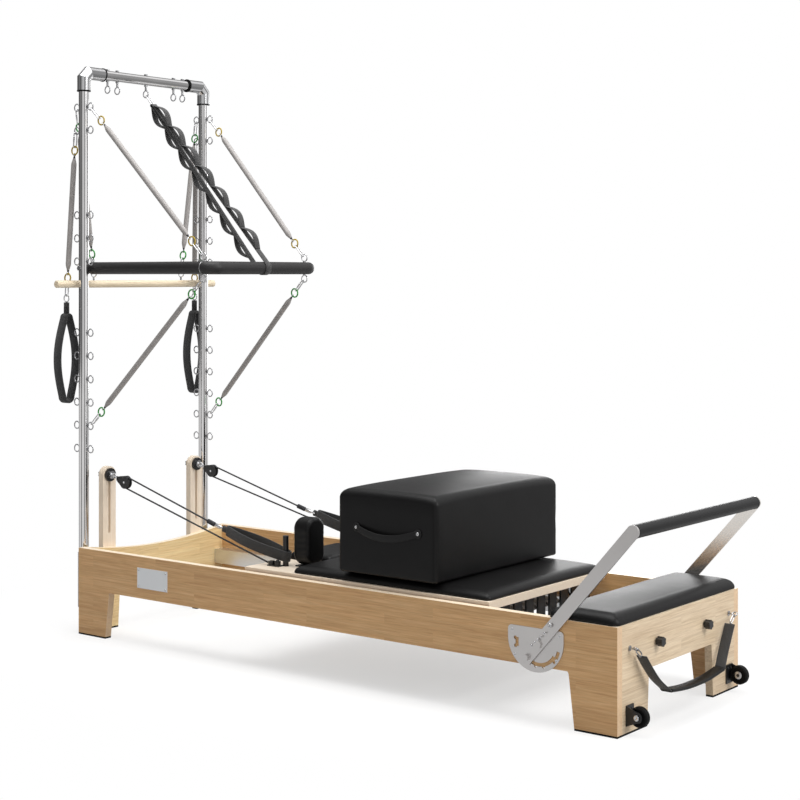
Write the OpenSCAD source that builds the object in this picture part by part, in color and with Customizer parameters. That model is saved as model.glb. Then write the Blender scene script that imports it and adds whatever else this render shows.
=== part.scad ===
// Pilates reformer with a half tower, a foot bar, a sliding carriage and a sitting box.
// X runs from the tower end to the foot bar end, Y runs across, and Z is up.
// The origin lies on the floor, under the middle of the whole outline.

/* [Wooden frame] */
// Length of the wooden frame
frame_l = 2300; // [2240:10:2400]
// Width of the wooden frame over both side rails
frame_w = 770; // [750:2:800]
// Height of the frame's top edge above the floor
frame_h = 320; // [312:1:340]
// Thickness of a side rail board
rail_t = 28; // [24:1:32]
// Depth of a side rail between its legs
rail_depth = 150; // [140:1:158]
// Thickness of the head and foot boards
board_t = 25; // [20:1:30]
// Width of a leg where it meets the side rail
leg_top_w = 165; // [150:1:190]
// Width of a leg at the floor
leg_foot_w = 145; // [120:1:149]
// Width of a leg on the end boards where it meets the board
end_leg_top_w = 157; // [145:1:175]
// Width of a leg on the end boards at the floor
end_leg_foot_w = 147; // [120:1:144]
// Radius of the fillet between a leg and its rail
leg_fillet = 6; // [4:1:24]
// Depth of the curved dip in the head board's top edge
head_dip = 30; // [10:1:45]
// Thickness of the rubber pad under each leg
leg_pad_t = 6; // [3:1:10]

/* [Carriage track] */
// Width of each aluminium track beam
track_w = 45; // [38:1:52]
// Height of each aluminium track beam
track_h = 56; // [45:1:57]
// Wall of each track beam
track_wall = 3; // [2:0.5:5]
// Radius of a carriage wheel
roller_r = 28; // [24:1:30]
// Width of a carriage wheel
roller_w = 18; // [14:1:22]
// Room between a carriage wheel and the deck
truck_gap = 21; // [16:1:24]

/* [Carriage] */
// Length of the carriage deck
deck_l = 1020; // [980:5:1050]
// Thickness of the carriage deck board
deck_t = 25; // [20:1:30]
// Height of the deck's top above the side rails
deck_rise = 10; // [6:1:16]
// Gap between the deck and each side rail
deck_side_gap = 12; // [8:1:16]
// Distance from the frame's middle to the deck's foot end
deck_foot_x = 675; // [640:5:700]
// Length of the upholstered pad on the carriage
pad_l = 805; // [780:5:820]
// Height of the carriage pad at its edge
pad_h = 28; // [22:1:36]
// Extra height of the carriage pad in the middle
pad_crown = 4; // [2:1:8]
// Height of a shoulder rest
rest_h = 178; // [150:1:200]
// Thickness of a shoulder rest along the frame
rest_t = 70; // [55:1:80]
// Width of a shoulder rest
rest_w = 92; // [80:1:100]
// Distance from the middle to the centre of a shoulder rest
rest_y = 195; // [188:1:205]
// Radius of a strap peg
peg_r = 10; // [8:0.5:13]
// Height of a strap peg above the deck
peg_h = 104; // [90:1:120]
// Length of the headrest pad
headrest_l = 196; // [170:1:198]
// Width of the headrest pad
headrest_w = 270; // [240:1:276]

/* [Sitting box] */
// Length of the sitting box across the frame
box_l = 708; // [680:2:730]
// Width of the sitting box along the frame
box_w = 404; // [380:2:430]
// Height of the sitting box at its edge
box_h = 276; // [250:1:300]
// Extra height of the sitting box in the middle
box_crown = 12; // [6:1:18]
// Distance from the frame's middle to the box's centre
box_x = 280; // [250:5:320]
// Width of the carry handle of the box
handle_w = 26; // [20:1:30]
// Distance between the screws of a box handle
handle_span = 242; // [220:1:260]

/* [Foot end] */
// Length of the standing pad along the frame
stand_l = 238; // [220:2:300]
// Height of the standing pad at its edge
stand_h = 34; // [28:1:42]
// Distance from the frame's middle to the foot bar pivot
pivot_x = 885; // [875:1:895]
// Height of the foot bar pivot below the frame's top
pivot_drop = 82; // [78:1:86]
// Distance from the foot bar pivot to the grip
arm_l = 484; // [460:1:510]
// Width of a foot bar arm
arm_w = 40; // [34:1:46]
// Thickness of a foot bar arm
arm_t = 6; // [5:0.5:8]
// Lean of the foot bar above the level
arm_lean = 48.5; // [44:0.5:54]
// Outer radius of the foot bar grip
grip_r = 20; // [18:0.5:26]
// Radius of the quadrant plates
quad_r = 98; // [94:1:102]
// Thickness of the quadrant plates
quad_t = 4; // [3:0.5:6]
// Radius of a transport wheel
wheel_r = 30; // [26:1:32]
// Width of a transport wheel
wheel_w = 22; // [18:1:26]

/* [Tower] */
// Outer diameter of the posts and the top tube
post_d = 38; // [34:1:42]
// Wall of the posts and the top tube
post_wall = 2.5; // [2:0.5:4]
// Distance of the posts beyond the head board
post_out = 46; // [44:1:52]
// Distance from the middle to each post
post_y = 319; // [312:1:324]
// Height of the top tube's axis
tower_h = 2097; // [2050:1:2150]
// Outer diameter of the elbow fittings
elbow_d = 49; // [46:1:53]
// Spacing of the eye bolts along a post
eye_pitch = 87.5; // [80:0.5:92]
// Height of the lowest eye bolt
eye_low = 680; // [660:1:700]
// Ring radius of an eye bolt, to the middle of its wire
eye_r = 13.5; // [12:0.5:15]
// Radius of the steel wire in rings, eyes and snap hooks
wire_r = 2.3; // [2:0.1:2.6]
// Height of the push bar pivot
bar_h = 1360; // [1355:1:1368]
// Reach of the push bar from its pivot to its cross tube
bar_reach = 625; // [590:5:650]
// Outer radius of the padded push bar
bar_r = 23; // [21:0.5:25]
// Length of the wooden roll bar
roll_l = 840; // [800:5:880]
// Radius of the wooden roll bar
roll_r = 14; // [12:0.5:16]
// Outer radius of the spring sleeves
sleeve_r = 10.5; // [9:0.5:12]

/* [Pulleys and ropes] */
// Width of a pulley riser
riser_w = 64; // [58:1:70]
// Thickness of a pulley riser
riser_t = 24; // [20:1:28]
// Height of the pulley clamp
clamp_h = 577; // [560:1:590]
// Distance from the middle to each riser
riser_y = 232; // [226:1:238]
// Outer radius of a rope pulley
sheave_r = 23; // [20:1:26]
// Width of a rope pulley
sheave_w = 12; // [10:1:14]
// Radius of the rope
rope_r = 3; // [2.5:0.25:3.5]

/* [Hidden] */
$fn = 48;
near = -1;
far = 1;
seat_gap = 0.3;
run_gap = 0.1;
wood = "#d9b98c";
black = "#1c1c1e";
steel = "#b9bcc0";

// Frame places, measured from the frame's own middle
hx = frame_l / 2;
hy = frame_w / 2;
rail_in = hy - rail_t;
rail_z0 = frame_h - rail_depth;
deck_top = frame_h + deck_rise;
deck_z0 = deck_top - deck_t;
deck_x1 = deck_foot_x;
deck_x0 = deck_x1 - deck_l;
deck_hy = rail_in - deck_side_gap;
axle_z = deck_z0 - truck_gap - roller_r;
track_top = axle_z - roller_r - seat_gap;
track_in = rail_in - track_w;
roller_y = rail_in - track_w / 2;
roller_head_x = deck_x0 + 90;
roller_foot_x = deck_x1 - 110;
axle_r = 4;

// Tower places
post_r = post_d / 2;
post_x = -hx - post_out;
bracket_h = 204;
bracket_z0 = frame_h - 234;
bracket_t = 3;
elbow_cut = 22;
elbow_drop = 67;
elbow_run = 92;
elbow_seat = 6;
eye_out = 38;
eye_shank_r = 4;
eye_groups = [[0, 6], [8.06, 3], [13.71, 2]];
eye_heights = [for (g = eye_groups) for (i = [0 : g[1] - 1]) eye_low + (g[0] + i) * eye_pitch];
top_eye_z = eye_low + 14.71 * eye_pitch;
second_eye_z = eye_low + 13.71 * eye_pitch;
low_eye_z = eye_low + eye_pitch;
cross_eye_ys = [-200, -150, 0, 150, 200];
cross_eye_drop = 54;
spare_hole_drops = [76, 153];
pin_r = 5;
pin_bore_r = pin_r + run_gap;
bar_y = post_y - post_r - 2 - bar_r;
bar_eye_x = post_x + bar_reach - 41;
bar_eye_out = bar_r + 17;
bar_bend_r = 40;

// Ring, hook and spring sizes
hook_gap = 2 * wire_r + 0.5;
snap_l = 58;
snap_r = 7;
ring_r = 12;
neck_eye_r = 5;
neck_l = 8;
cone_l = 26;
tip_r = 4.5;
spring_end = eye_r - hook_gap + snap_l - hook_gap + 2 * ring_r + neck_eye_r;
hang_x = post_x - eye_out;

// Roll bar and foot strap places
roll_x = post_x - post_r - 7 - roll_r;
roll_z = bar_h - 60;
roll_eye_y = 233;
roll_eye_z = roll_z + roll_r + 12;
strap_ring_z = 1246;
strap_x = hang_x - 34;
strap_y = post_y + 22;
hook_out = 5;
hook_side = 1.5;
hook_up = 2.7;
hook_lift = 1.4;
strap_w = 34;
strap_t = 6;
strap_loop_l = 345;
strap_top_r = 12;
strap_low_r = 20;
strap_bulge = 34;
strap_neck_l = 62;
strap_neck_w = 27;

// Pulley and rope places
riser_x = -hx - riser_t;
riser_z0 = rail_z0 + 6;
slot_w = 10.4;
slot_low = frame_h + 40;
clamp_r = 25;
clamp_t = 9;
clamp_boss_t = 8;
clamp_eye_r = 8;
clamp_eye_w = 3;
clamp_eye_out = 11;
block_link_w = 2.5;
block_link_r = 6;
block_neck = 18;
sheave_x = -hx + 90;
sheave_z = clamp_h - 22;
groove_r = sheave_r - 5;
groove_room = 1.1;
rope_wrap_r = groove_r + rope_r + seat_gap;
cheek_t = 2.5;
block_dx = sheave_x + hx - clamp_t - clamp_boss_t;
block_dz = clamp_h - sheave_z;
block_tilt = atan2(block_dz, block_dx);
block_link_l = norm([block_dx, block_dz]) - sheave_r - block_neck - clamp_eye_out - clamp_eye_r
  + clamp_eye_w + block_link_w + seat_gap;

// Carriage furniture places
rest_x = deck_x0 + 165;
peg_x = rest_x - rest_t / 2 - 28;
peg_y = rest_y + 53;
strap_end_z = deck_top + 36;
clip_x = deck_x0 - 236;
clip_z = deck_top + 110;
clip_y = riser_y + 14;
clip_room = 1;
strap_near_x = clip_x + 62;
strap_tilt = atan2(clip_z - strap_end_z, peg_x - clip_x);
hand_strap_l = (peg_x - strap_near_x) / cos(strap_tilt) + peg_r + 7;
hand_bulge = 12;
hand_band_w = 32;
cleat_x = deck_x0 + 46;
cleat_y = riser_y + 40;
cleat_z = deck_top + 8;
headrest_x1 = deck_x1 - pad_l - 8;
pad_x = deck_x1 - 5 - pad_l / 2;
pad_hy = deck_hy - 8;
pad_top = deck_top + seat_gap + pad_h + pad_crown;
box_z0 = pad_top + seat_gap;

// Foot end places
pivot_z = frame_h - pivot_drop;
quad_x = pivot_x - 12;
quad_z = pivot_z + 12;
quad_top = frame_h - 36;
arm_y = hy + quad_t + seat_gap;
slot_in = 56;
slot_out = 67;
pivot_r = 8;
quad_corner = 12;
tail_l = 70;
wheel_x = hx + 37;
wheel_y = 321;
wheel_z = 56;
knob_y = 153;
knob_z = frame_h - 78;
knob_stem_r = 5;
carry_w = 40;
carry_t = 6;
carry_drop = 120;
link_y = 316;
link_z = frame_h - 71;
link_w = 2.2;
link_eye_r = 8;
link_half = 6;
link_out = 22;
link_side = 33;
link_drop = 26;
link_pull = atan2(link_side, link_drop);
link_hook = link_eye_r - 2 * link_w - seat_gap;
link_l = norm([link_side, link_drop]) - link_hook - link_w - seat_gap;
plate_l = 153;
plate_w = 73;
plate_t = 1.5;
gear_x = deck_x1 - 30;
gear_z = rail_z0 + 20;
tab_pitch = 69;
tab_w = 42;
tab_t = 8;
tab_n = 9;
spring_ys = [-2, -1, 0, 1, 2] * tab_pitch;
spring_z = gear_z + 62;
hanger_x = deck_x0 + 470;
coil_r = 11;

// The outline reaches from the hanging straps to the foot bar or the transport wheels
reach_head = -(strap_x - strap_w / 2);
reach_foot = max(pivot_x + arm_l * cos(arm_lean) + max(arm_w / 2, grip_r), wheel_x + wheel_r);
mid_x = (reach_head - reach_foot) / 2;

// Shared shapes

// Places children so that their own Z runs from one point to another, with no twist
module along(p, q) {
  v = q - p;
  turn = atan2(v[1], v[0]);
  translate(p)
    rotate([0, acos(v[2] / norm(v)), turn]) rotate([0, 0, -turn])
      children();
}

// Round rod between two points
module rod(p, q, r) {
  along(p, q) cylinder(r = r, h = norm(q - p));
}

// Ring whose axis is Z
module ring(r, w = wire_r) {
  rotate_extrude() translate([r, 0]) circle(w, $fn = 24);
}

// Long link in the XZ plane, its end wires at Z = 0 and Z = l
module long_link(l, r, w = wire_r) {
  rotate([90, 0, 0]) {
    translate([0, l - r, 0]) rotate_extrude(angle = 180) translate([r, 0]) circle(w, $fn = 24);
    translate([0, r, 0]) rotate([0, 0, 180])
      rotate_extrude(angle = 180) translate([r, 0]) circle(w, $fn = 24);
    for (s = [-1, 1])
      translate([s * r, r, 0]) rotate([-90, 0, 0]) cylinder(r = w, h = l - 2 * r, $fn = 24);
  }
}

// Half of a spring's fittings: snap hook and coloured ring, from an eye at the origin
module spring_fittings() {
  translate([0, 0, eye_r - hook_gap]) rotate([0, 0, 90]) long_link(snap_l, snap_r);
  translate([0, 0, spring_end - neck_eye_r - ring_r]) rotate([90, 0, 0]) ring(ring_r);
}

// Sleeved spring with its fittings, from the centre of a lower eye to that of an upper eye
module spring_set(p, q) {
  d = norm(q - p);
  along(p, q) {
    spring_fittings();
    translate([0, 0, d]) rotate([180, 0, 0]) spring_fittings();
    for (z = [spring_end - neck_eye_r, d - spring_end + neck_eye_r])
      translate([0, 0, z]) rotate([0, 90, 0]) ring(neck_eye_r);
    rotate_extrude()
      polygon([[0, spring_end], [wire_r, spring_end], [wire_r, spring_end + neck_l],
               [tip_r, spring_end + neck_l], [sleeve_r, spring_end + neck_l + cone_l],
               [sleeve_r, d - spring_end - neck_l - cone_l],
               [tip_r, d - spring_end - neck_l], [wire_r, d - spring_end - neck_l],
               [wire_r, d - spring_end], [0, d - spring_end]]);
  }
}

// Rounded rectangle whose long sides draw in between its corners
arc_n = 4;
side_n = 6;
function outline(ax, ay, r, draw) =
  let (c = [[ax - r, ay - r], [r - ax, ay - r], [r - ax, r - ay], [ax - r, r - ay]])
  [for (q = [0 : 3]) each concat(
    [for (i = [0 : arc_n]) let (a = 90 * (q + i / arc_n)) c[q] + r * [cos(a), sin(a)]],
    [for (i = [1 : side_n - 1])
      let (t = i / side_n, a = 90 * (q + 1), n = [cos(a), sin(a)])
      c[q] + r * n + (c[(q + 1) % 4] - c[q]) * t - draw * sin(180 * t) * n])];

// Upholstered pad: flat base, drawn in sides, rounded rim and a crowned top
// ax and ay are half sizes, h is the height at the rim, and rim is the radius of the top edge
module cushion(ax, ay, h, r, rim, crown, draw) {
  foot = rim / 3;
  sides = [[foot, 0], [0, foot], [draw / 2, h / 2], [0, h - rim]];
  bend = [for (a = [22.5 : 22.5 : 90]) [rim * (1 - cos(a)), h - rim * (1 - sin(a))]];
  rise = [0.2, 0.45, 0.7, 0.9];
  edge = concat(sides, bend);
  rings = concat(
    [for (e = edge) let (k = e[0])
      [for (p = outline(ax - k, ay - k, r - min(k, r / 2), draw)) [p[0], p[1], e[1]]]],
    [for (f = rise) let (k = (1 - f))
      [for (p = outline(ax - rim, ay - rim, r - min(rim, r / 2), draw))
        let (u = k * p[0] / (ax - rim), v = k * p[1] / (ay - rim))
        [p[0] * k, p[1] * k, h + crown * (1 - u * u) * (1 - v * v)]]]);
  m = len(rings[0]);
  last = len(rings) - 1;
  points = concat([[0, 0, 0]], [for (g = rings) each g], [[0, 0, h + crown]]);
  faces = concat(
    [for (i = [0 : m - 1]) [0, 1 + i, 1 + (i + 1) % m]],
    [for (j = [0 : last - 1]) for (i = [0 : m - 1]) let (a = 1 + j * m + i, b = 1 + j * m + (i + 1) % m)
      each [[a, a + m, b], [b, a + m, b + m]]],
    [for (i = [0 : m - 1]) [1 + last * m + i, len(points) - 1, 1 + last * m + (i + 1) % m]]);
  polyhedron(points, faces);
}

// Flat band of width w and thickness t that follows a path and keeps its width along one direction
module ribbon(path, wide, w, t, closed = false) {
  n = len(path);
  function step(i) = closed
    ? path[(i + 1) % n] - path[(i + n - 1) % n]
    : path[min(i + 1, n - 1)] - path[max(i - 1, 0)];
  corners = [for (i = [0 : n - 1])
    let (c = cross(wide, step(i)), u = c / norm(c) * t / 2, v = wide * w / 2)
    each [path[i] + u + v, path[i] - u + v, path[i] - u - v, path[i] + u - v]];
  spans = closed ? n : n - 1;
  faces = concat(
    [for (i = [0 : spans - 1]) for (k = [0 : 3])
      let (a = 4 * i + k, b = 4 * i + (k + 1) % 4, c = (4 * (i + 1) + k) % (4 * n),
           d = (4 * (i + 1) + (k + 1) % 4) % (4 * n))
      each [[a, c, b], [b, c, d]]],
    closed ? [] : [[0, 1, 2], [0, 2, 3], [4 * n - 4, 4 * n - 2, 4 * n - 3], [4 * n - 4, 4 * n - 1, 4 * n - 2]]);
  polyhedron(corners, faces);
}

// Closed loop of a strap from a small bend at the start to a full bend at the far end
loop_n = 8;
function strap_loop(l, r1, r2, bulge) =
  let (side = [for (i = [1 : loop_n - 1])
        let (t = i / loop_n)
        [r1 + (l - r1 - r2) * t, r1 + (r2 - r1) * t + bulge * sin(180 * t)]])
  concat(
    [for (i = [0 : loop_n]) let (a = 90 + 180 * i / loop_n) [r1 + r1 * cos(a), r1 * sin(a)]],
    [for (p = side) [p[0], -p[1]]],
    [for (i = [0 : loop_n]) let (a = 270 + 180 * i / loop_n) [l - r2 + r2 * cos(a), r2 * sin(a)]],
    [for (i = [len(side) - 1 : -1 : 0]) side[i]]);

// Wooden frame

// Side view of a rail with its two legs
module rail_profile() {
  z0 = leg_pad_t;
  polygon([[-hx, z0], [-hx + leg_foot_w, z0], [-hx + leg_top_w, rail_z0], [hx - leg_top_w, rail_z0],
           [hx - leg_foot_w, z0], [hx, z0], [hx, frame_h], [-hx, frame_h]]);
  for (s = [-1, 1])
    translate([s * (hx - leg_top_w), rail_z0]) leg_corner(s);
}

// Fillet in the corner between a leg and its rail
module leg_corner(s) {
  difference() {
    translate([s > 0 ? -leg_fillet : -1, -leg_fillet]) square([leg_fillet + 1, leg_fillet + 1]);
    translate([-s * leg_fillet, -leg_fillet]) circle(leg_fillet);
  }
}

module side_rail(side) {
  color(wood) difference() {
    translate([0, side > 0 ? hy : -rail_in, 0])
      rotate([90, 0, 0]) linear_extrude(rail_t) rail_profile();
    translate([pivot_x, side * hy, pivot_z]) rotate([90, 0, 0])
      cylinder(r = pivot_r + run_gap, h = rail_t, center = true);
  }
}

// End view of a board with its two legs, narrower than the frame by the side rails
module end_profile(dip) {
  z0 = leg_pad_t;
  difference() {
    polygon([[-rail_in, z0], [end_leg_foot_w - rail_in, z0], [end_leg_top_w - rail_in, rail_z0],
             [rail_in - end_leg_top_w, rail_z0], [rail_in - end_leg_foot_w, z0], [rail_in, z0],
             [rail_in, frame_h], [-rail_in, frame_h]]);
    if (dip > 0) {
      dip_r = (rail_in * rail_in + dip * dip) / (2 * dip);
      translate([0, frame_h - dip + dip_r]) circle(dip_r, $fn = 96);
    }
  }
  for (s = [-1, 1])
    translate([s * (rail_in - end_leg_top_w), rail_z0]) leg_corner(s);
}

module head_board() {
  color(wood) translate([-hx, 0, 0]) rotate([90, 0, 90]) linear_extrude(board_t) end_profile(head_dip);
}

module foot_board() {
  color(wood) difference() {
    translate([hx - board_t, 0, 0]) rotate([90, 0, 90]) linear_extrude(board_t) end_profile(0);
    for (s = [-1, 1])
      translate([hx - board_t - 1, s * knob_y, knob_z]) rotate([0, 90, 0])
        cylinder(r = knob_stem_r + run_gap, h = board_t + 2);
  }
}

module leg_pads() {
  color(black) for (s = [-1, 1]) for (e = [-1, 1]) scale([e, s, 1]) {
    translate([hx - leg_foot_w, rail_in, 0]) cube([leg_foot_w, rail_t, leg_pad_t]);
    translate([hx - board_t, rail_in - end_leg_foot_w, 0]) cube([board_t, end_leg_foot_w, leg_pad_t]);
  }
}

// Hollow beams along the inside of the side rails, on which the carriage wheels run
module track_rails() {
  color("#c9cbce") for (s = [-1, 1]) scale([1, s, 1])
    translate([-hx + board_t, 0, 0]) rotate([90, 0, 90]) linear_extrude(frame_l - 2 * board_t)
      difference() {
        translate([track_in, track_top - track_h]) square([track_w, track_h]);
        translate([track_in + track_wall, track_top - track_h + track_wall])
          square([track_w - 2 * track_wall, track_h - 2 * track_wall]);
      }
}

module standing_board() {
  color(wood) translate([hx - board_t - stand_l + 34, -rail_in, frame_h - 20])
    cube([stand_l - 34, 2 * rail_in, 20]);
}

module standing_pad() {
  color(black) translate([hx - 2 - stand_l / 2, 0, frame_h + seat_gap])
    cushion(stand_l / 2, hy - 2, stand_h, 22, 16, 6, 2);
}

// Bar with upright tabs, fixed between the tracks, to which the carriage springs are hooked
module gear_bar() {
  tab_top = deck_z0 - 9;
  color(black) {
    translate([gear_x, -track_in, gear_z]) cube([24, 2 * track_in, 30]);
    for (i = [0 : tab_n - 1])
      translate([gear_x - tab_t + 0.5, (i - (tab_n - 1) / 2) * tab_pitch - tab_w / 2, gear_z])
        cube([tab_t, tab_w, tab_top - gear_z]);
  }
}

// Sleeved springs between the gear bar and the hanger under the carriage
module carriage_springs() {
  x1 = gear_x - tab_t + 0.5;
  color(steel) for (y = spring_ys)
    translate([hanger_x, y, spring_z]) rotate([0, 90, 0]) rotate_extrude()
      polygon([[0, 0], [tip_r, 0], [tip_r, 18], [coil_r, 30], [coil_r, x1 - hanger_x - 30],
               [tip_r, x1 - hanger_x - 18], [tip_r, x1 - hanger_x], [0, x1 - hanger_x]]);
}

// Pulley risers, ropes and their blocks

// Slotted riser with a round head, fixed to the outside of the head board
module riser(side) {
  color("#e3c8a0") translate([riser_x, side * riser_y, 0]) difference() {
    rotate([90, 0, 90]) linear_extrude(riser_t) {
      translate([-riser_w / 2, riser_z0]) square([riser_w, clamp_h - riser_z0]);
      translate([0, clamp_h]) circle(riser_w / 2);
    }
    rotate([90, 0, 90]) translate([0, 0, -1]) linear_extrude(riser_t + 2) {
      translate([-slot_w / 2, slot_low]) square([slot_w, clamp_h - slot_low]);
      for (z = [slot_low, clamp_h])
        translate([0, z]) circle(slot_w / 2);
    }
  }
}

// Clamp disc with a swivel eye in front of each riser, its bolt and the star knob behind
module riser_clamps() {
  color(black) for (s = [-1, 1]) translate([-hx, s * riser_y, clamp_h]) {
    rotate([0, 90, 0]) cylinder(r = clamp_r, h = clamp_t);
    translate([clamp_t, 0, 0]) rotate([0, 90, 0]) cylinder(r = 15, h = clamp_boss_t);
    translate([-riser_t - 10, 0, 0]) rotate([0, 90, 0]) cylinder(r = slot_w / 2 - 0.2, h = riser_t + 11);
    translate([-riser_t - 24, 0, 0]) rotate([0, 90, 0]) star(14, 24);
    translate([clamp_t + clamp_boss_t, 0, 0]) rotate([0, 90 + block_tilt, 0]) {
      translate([0, 0, -3]) cylinder(r = 6, h = 6);
      translate([0, 0, clamp_eye_out]) rotate([90, 0, 0]) ring(clamp_eye_r, clamp_eye_w);
    }
  }
}

// Round knob with lobes
module star(r, h) {
  cylinder(r = r * 0.82, h = h);
  for (a = [0 : 60 : 300])
    rotate([0, 0, a]) translate([r * 0.72, 0, 0]) cylinder(r = r * 0.28, h = h);
}

// Cheeks, axle and shackle that carry a rope pulley
module pulley_blocks() {
  color("#2a2a2c") for (s = [-1, 1])
    translate([sheave_x, s * riser_y, sheave_z]) rotate([0, block_tilt, 0]) {
      for (c = [-1, 1])
        translate([0, c * (sheave_w / 2 + 0.5 + cheek_t / 2), 0]) rotate([90, 0, 0])
          linear_extrude(cheek_t, center = true) {
            circle(sheave_r + 1);
            polygon([[-sheave_r * 0.55, sheave_r * 0.86], [-sheave_r - 20, 7],
                     [-sheave_r - 20, -7], [-sheave_r * 0.55, -sheave_r * 0.86]]);
          }
      rotate([90, 0, 0])
        cylinder(r = axle_r, h = sheave_w + 2 * cheek_t + 5, center = true);
      translate([-sheave_r - 20, -sheave_w / 2 - 1, -7]) cube([9, sheave_w + 2, 14]);
      translate([-sheave_r - block_neck, 0, 0]) rotate([0, -90, 0]) rotate([0, 0, 90])
        long_link(block_link_l, block_link_r, block_link_w);
    }
}

module sheave(side) {
  color(black) translate([sheave_x, side * riser_y, sheave_z]) rotate([90, 0, 0])
    difference() {
      cylinder(r = sheave_r, h = sheave_w, center = true);
      cylinder(r = axle_r + run_gap, h = sheave_w + 2, center = true);
      rotate_extrude() translate([groove_r + rope_r + seat_gap, 0]) circle(rope_r + seat_gap);
      difference() {
        cylinder(r = sheave_r + 1, h = 2 * (rope_r + groove_room), center = true);
        cylinder(r = groove_r + rope_r, h = sheave_w, center = true);
      }
    }
}

// Rope from the cleat on the deck, round the pulley, and back to the clip of the hand strap
module rope(side) {
  centre = [sheave_x, side * riser_y, sheave_z];
  clip = [clip_x - clip_room, side * clip_y, clip_z];
  cleat = [cleat_x, side * cleat_y, cleat_z];
  up = rope_angle(centre, clip, 1);
  down = rope_angle(centre, cleat, -1);
  high = centre + rope_wrap_r * [cos(up), 0, sin(up)];
  low = centre + rope_wrap_r * [cos(down), 0, sin(down)];
  color("#26262b") {
    rod(high, clip, rope_r);
    rod(low, cleat, rope_r);
    for (p = [high, low]) translate(p) sphere(rope_r + seat_gap / 2, $fn = 24);
    translate(centre) rotate([90, 0, 0]) rotate([0, 0, up])
      rotate_extrude(angle = 360 + down - up)
        translate([rope_wrap_r, 0]) circle(rope_r - seat_gap / 3, $fn = 24);
  }
}

// Angle on the pulley at which a rope leaves for a point, on the upper or the lower side
function rope_angle(c, p, upper) =
  let (dx = p[0] - c[0], dz = p[2] - c[2])
  atan2(dz, dx) + upper * acos(rope_wrap_r / norm([dx, dz]));

// Tower

module post(side) {
  top = tower_h - elbow_cut - elbow_seat;
  color(steel) translate([post_x, side * post_y, 0]) difference() {
    translate([0, 0, bracket_z0]) cylinder(r = post_r, h = top - bracket_z0);
    translate([0, 0, bracket_z0 - 1]) cylinder(r = post_r - post_wall, h = top - bracket_z0 + 2);
    for (z = eye_heights)
      translate([0, 0, z]) rotate([0, 90, 0])
        cylinder(r = eye_shank_r + run_gap, h = post_d + 2, center = true, $fn = 24);
    for (z = concat([bar_h], [for (d = spare_hole_drops) bar_h - d]))
      translate([0, 0, z]) rotate([90, 0, 0]) cylinder(r = pin_bore_r, h = post_d + 2, center = true);
  }
}

module crossbar() {
  half = post_y - elbow_cut - elbow_seat;
  color(steel) translate([post_x, 0, tower_h]) difference() {
    rotate([90, 0, 0]) cylinder(r = post_r, h = 2 * half, center = true);
    rotate([90, 0, 0]) cylinder(r = post_r - post_wall, h = 2 * half + 2, center = true);
    for (y = cross_eye_ys)
      translate([0, y, 0]) cylinder(r = eye_shank_r + run_gap, h = post_d + 2, center = true, $fn = 24);
  }
}

// Half space on the far side of a mitre plane, through a point of the YZ plane
module mitre(y, z, tilt) {
  translate([0, y, z]) rotate([tilt, 0, 0]) translate([-60, -60, 0]) cube([120, 120, 160]);
}

// Three piece elbow with a cut corner, its bores, and a rubber ring at each mouth
module elbow() {
  er = elbow_d / 2;
  bore = post_r + 0.15;
  difference() {
    union() {
      difference() {
        translate([0, 0, -elbow_drop]) cylinder(r = er, h = elbow_drop);
        mitre(0, -elbow_cut, -22.5);
      }
      difference() {
        intersection() {
          translate([0, 0, -elbow_cut]) rotate([-45, 0, 0])
            cylinder(r = er, h = 4 * elbow_cut, center = true);
          mitre(0, -elbow_cut, -22.5);
        }
        mitre(elbow_cut, 0, -67.5);
      }
      intersection() {
        rotate([-90, 0, 0]) cylinder(r = er, h = elbow_run);
        mitre(elbow_cut, 0, -67.5);
      }
    }
    translate([0, 0, -elbow_drop - 1])
      cylinder(r = bore, h = elbow_drop - elbow_cut - elbow_seat + 1 + seat_gap);
    translate([0, elbow_cut + elbow_seat - seat_gap, 0]) rotate([-90, 0, 0])
      cylinder(r = bore, h = elbow_run);
  }
  difference() {
    union() {
      translate([0, 0, -elbow_drop - 4]) cylinder(r = er + 1, h = 4);
      translate([0, elbow_run, 0]) rotate([-90, 0, 0]) cylinder(r = er + 1, h = 4);
    }
    translate([0, 0, -elbow_drop - 5]) cylinder(r = bore, h = 6);
    translate([0, elbow_run - 1, 0]) rotate([-90, 0, 0]) cylinder(r = bore, h = 6);
  }
}

module elbows() {
  color("#c4c6c9") for (s = [-1, 1])
    translate([post_x, s * post_y, tower_h]) rotate([0, 0, s > 0 ? 180 : 0]) elbow();
}

// Bent plates that hold the posts against the head board
module post_brackets() {
  inner = post_r + seat_gap;
  outer = inner + bracket_t;
  flange = 30;
  color(steel) for (s = [-1, 1])
    translate([post_x, s * post_y, bracket_z0]) linear_extrude(bracket_h) difference() {
      union() {
        circle(outer);
        translate([0, -outer]) square([post_out, 2 * outer]);
        translate([post_out - bracket_t, -outer - flange])
          square([bracket_t, 2 * (outer + flange)]);
      }
      circle(inner);
      translate([0, -inner]) square([post_out + 1, 2 * inner]);
    }
}

// Eye bolts through the posts, with a ring on each side, and those under the top tube
module eye_bolts() {
  color(steel) {
    for (s = [-1, 1]) for (z = eye_heights)
      translate([post_x, s * post_y, z]) double_eye(post_r, eye_out);
    for (y = cross_eye_ys) translate([post_x, y, tower_h]) {
      translate([0, 0, -cross_eye_drop]) rotate([90, 0, 0]) ring(eye_r);
      translate([0, 0, -cross_eye_drop + eye_r])
        cylinder(r = eye_shank_r, h = cross_eye_drop - eye_r + post_r + 4, $fn = 24);
      for (z = [-post_r - 5, post_r + 0.5])
        translate([0, 0, z]) cylinder(r = 7, h = 4.5, $fn = 24);
    }
  }
}

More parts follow.
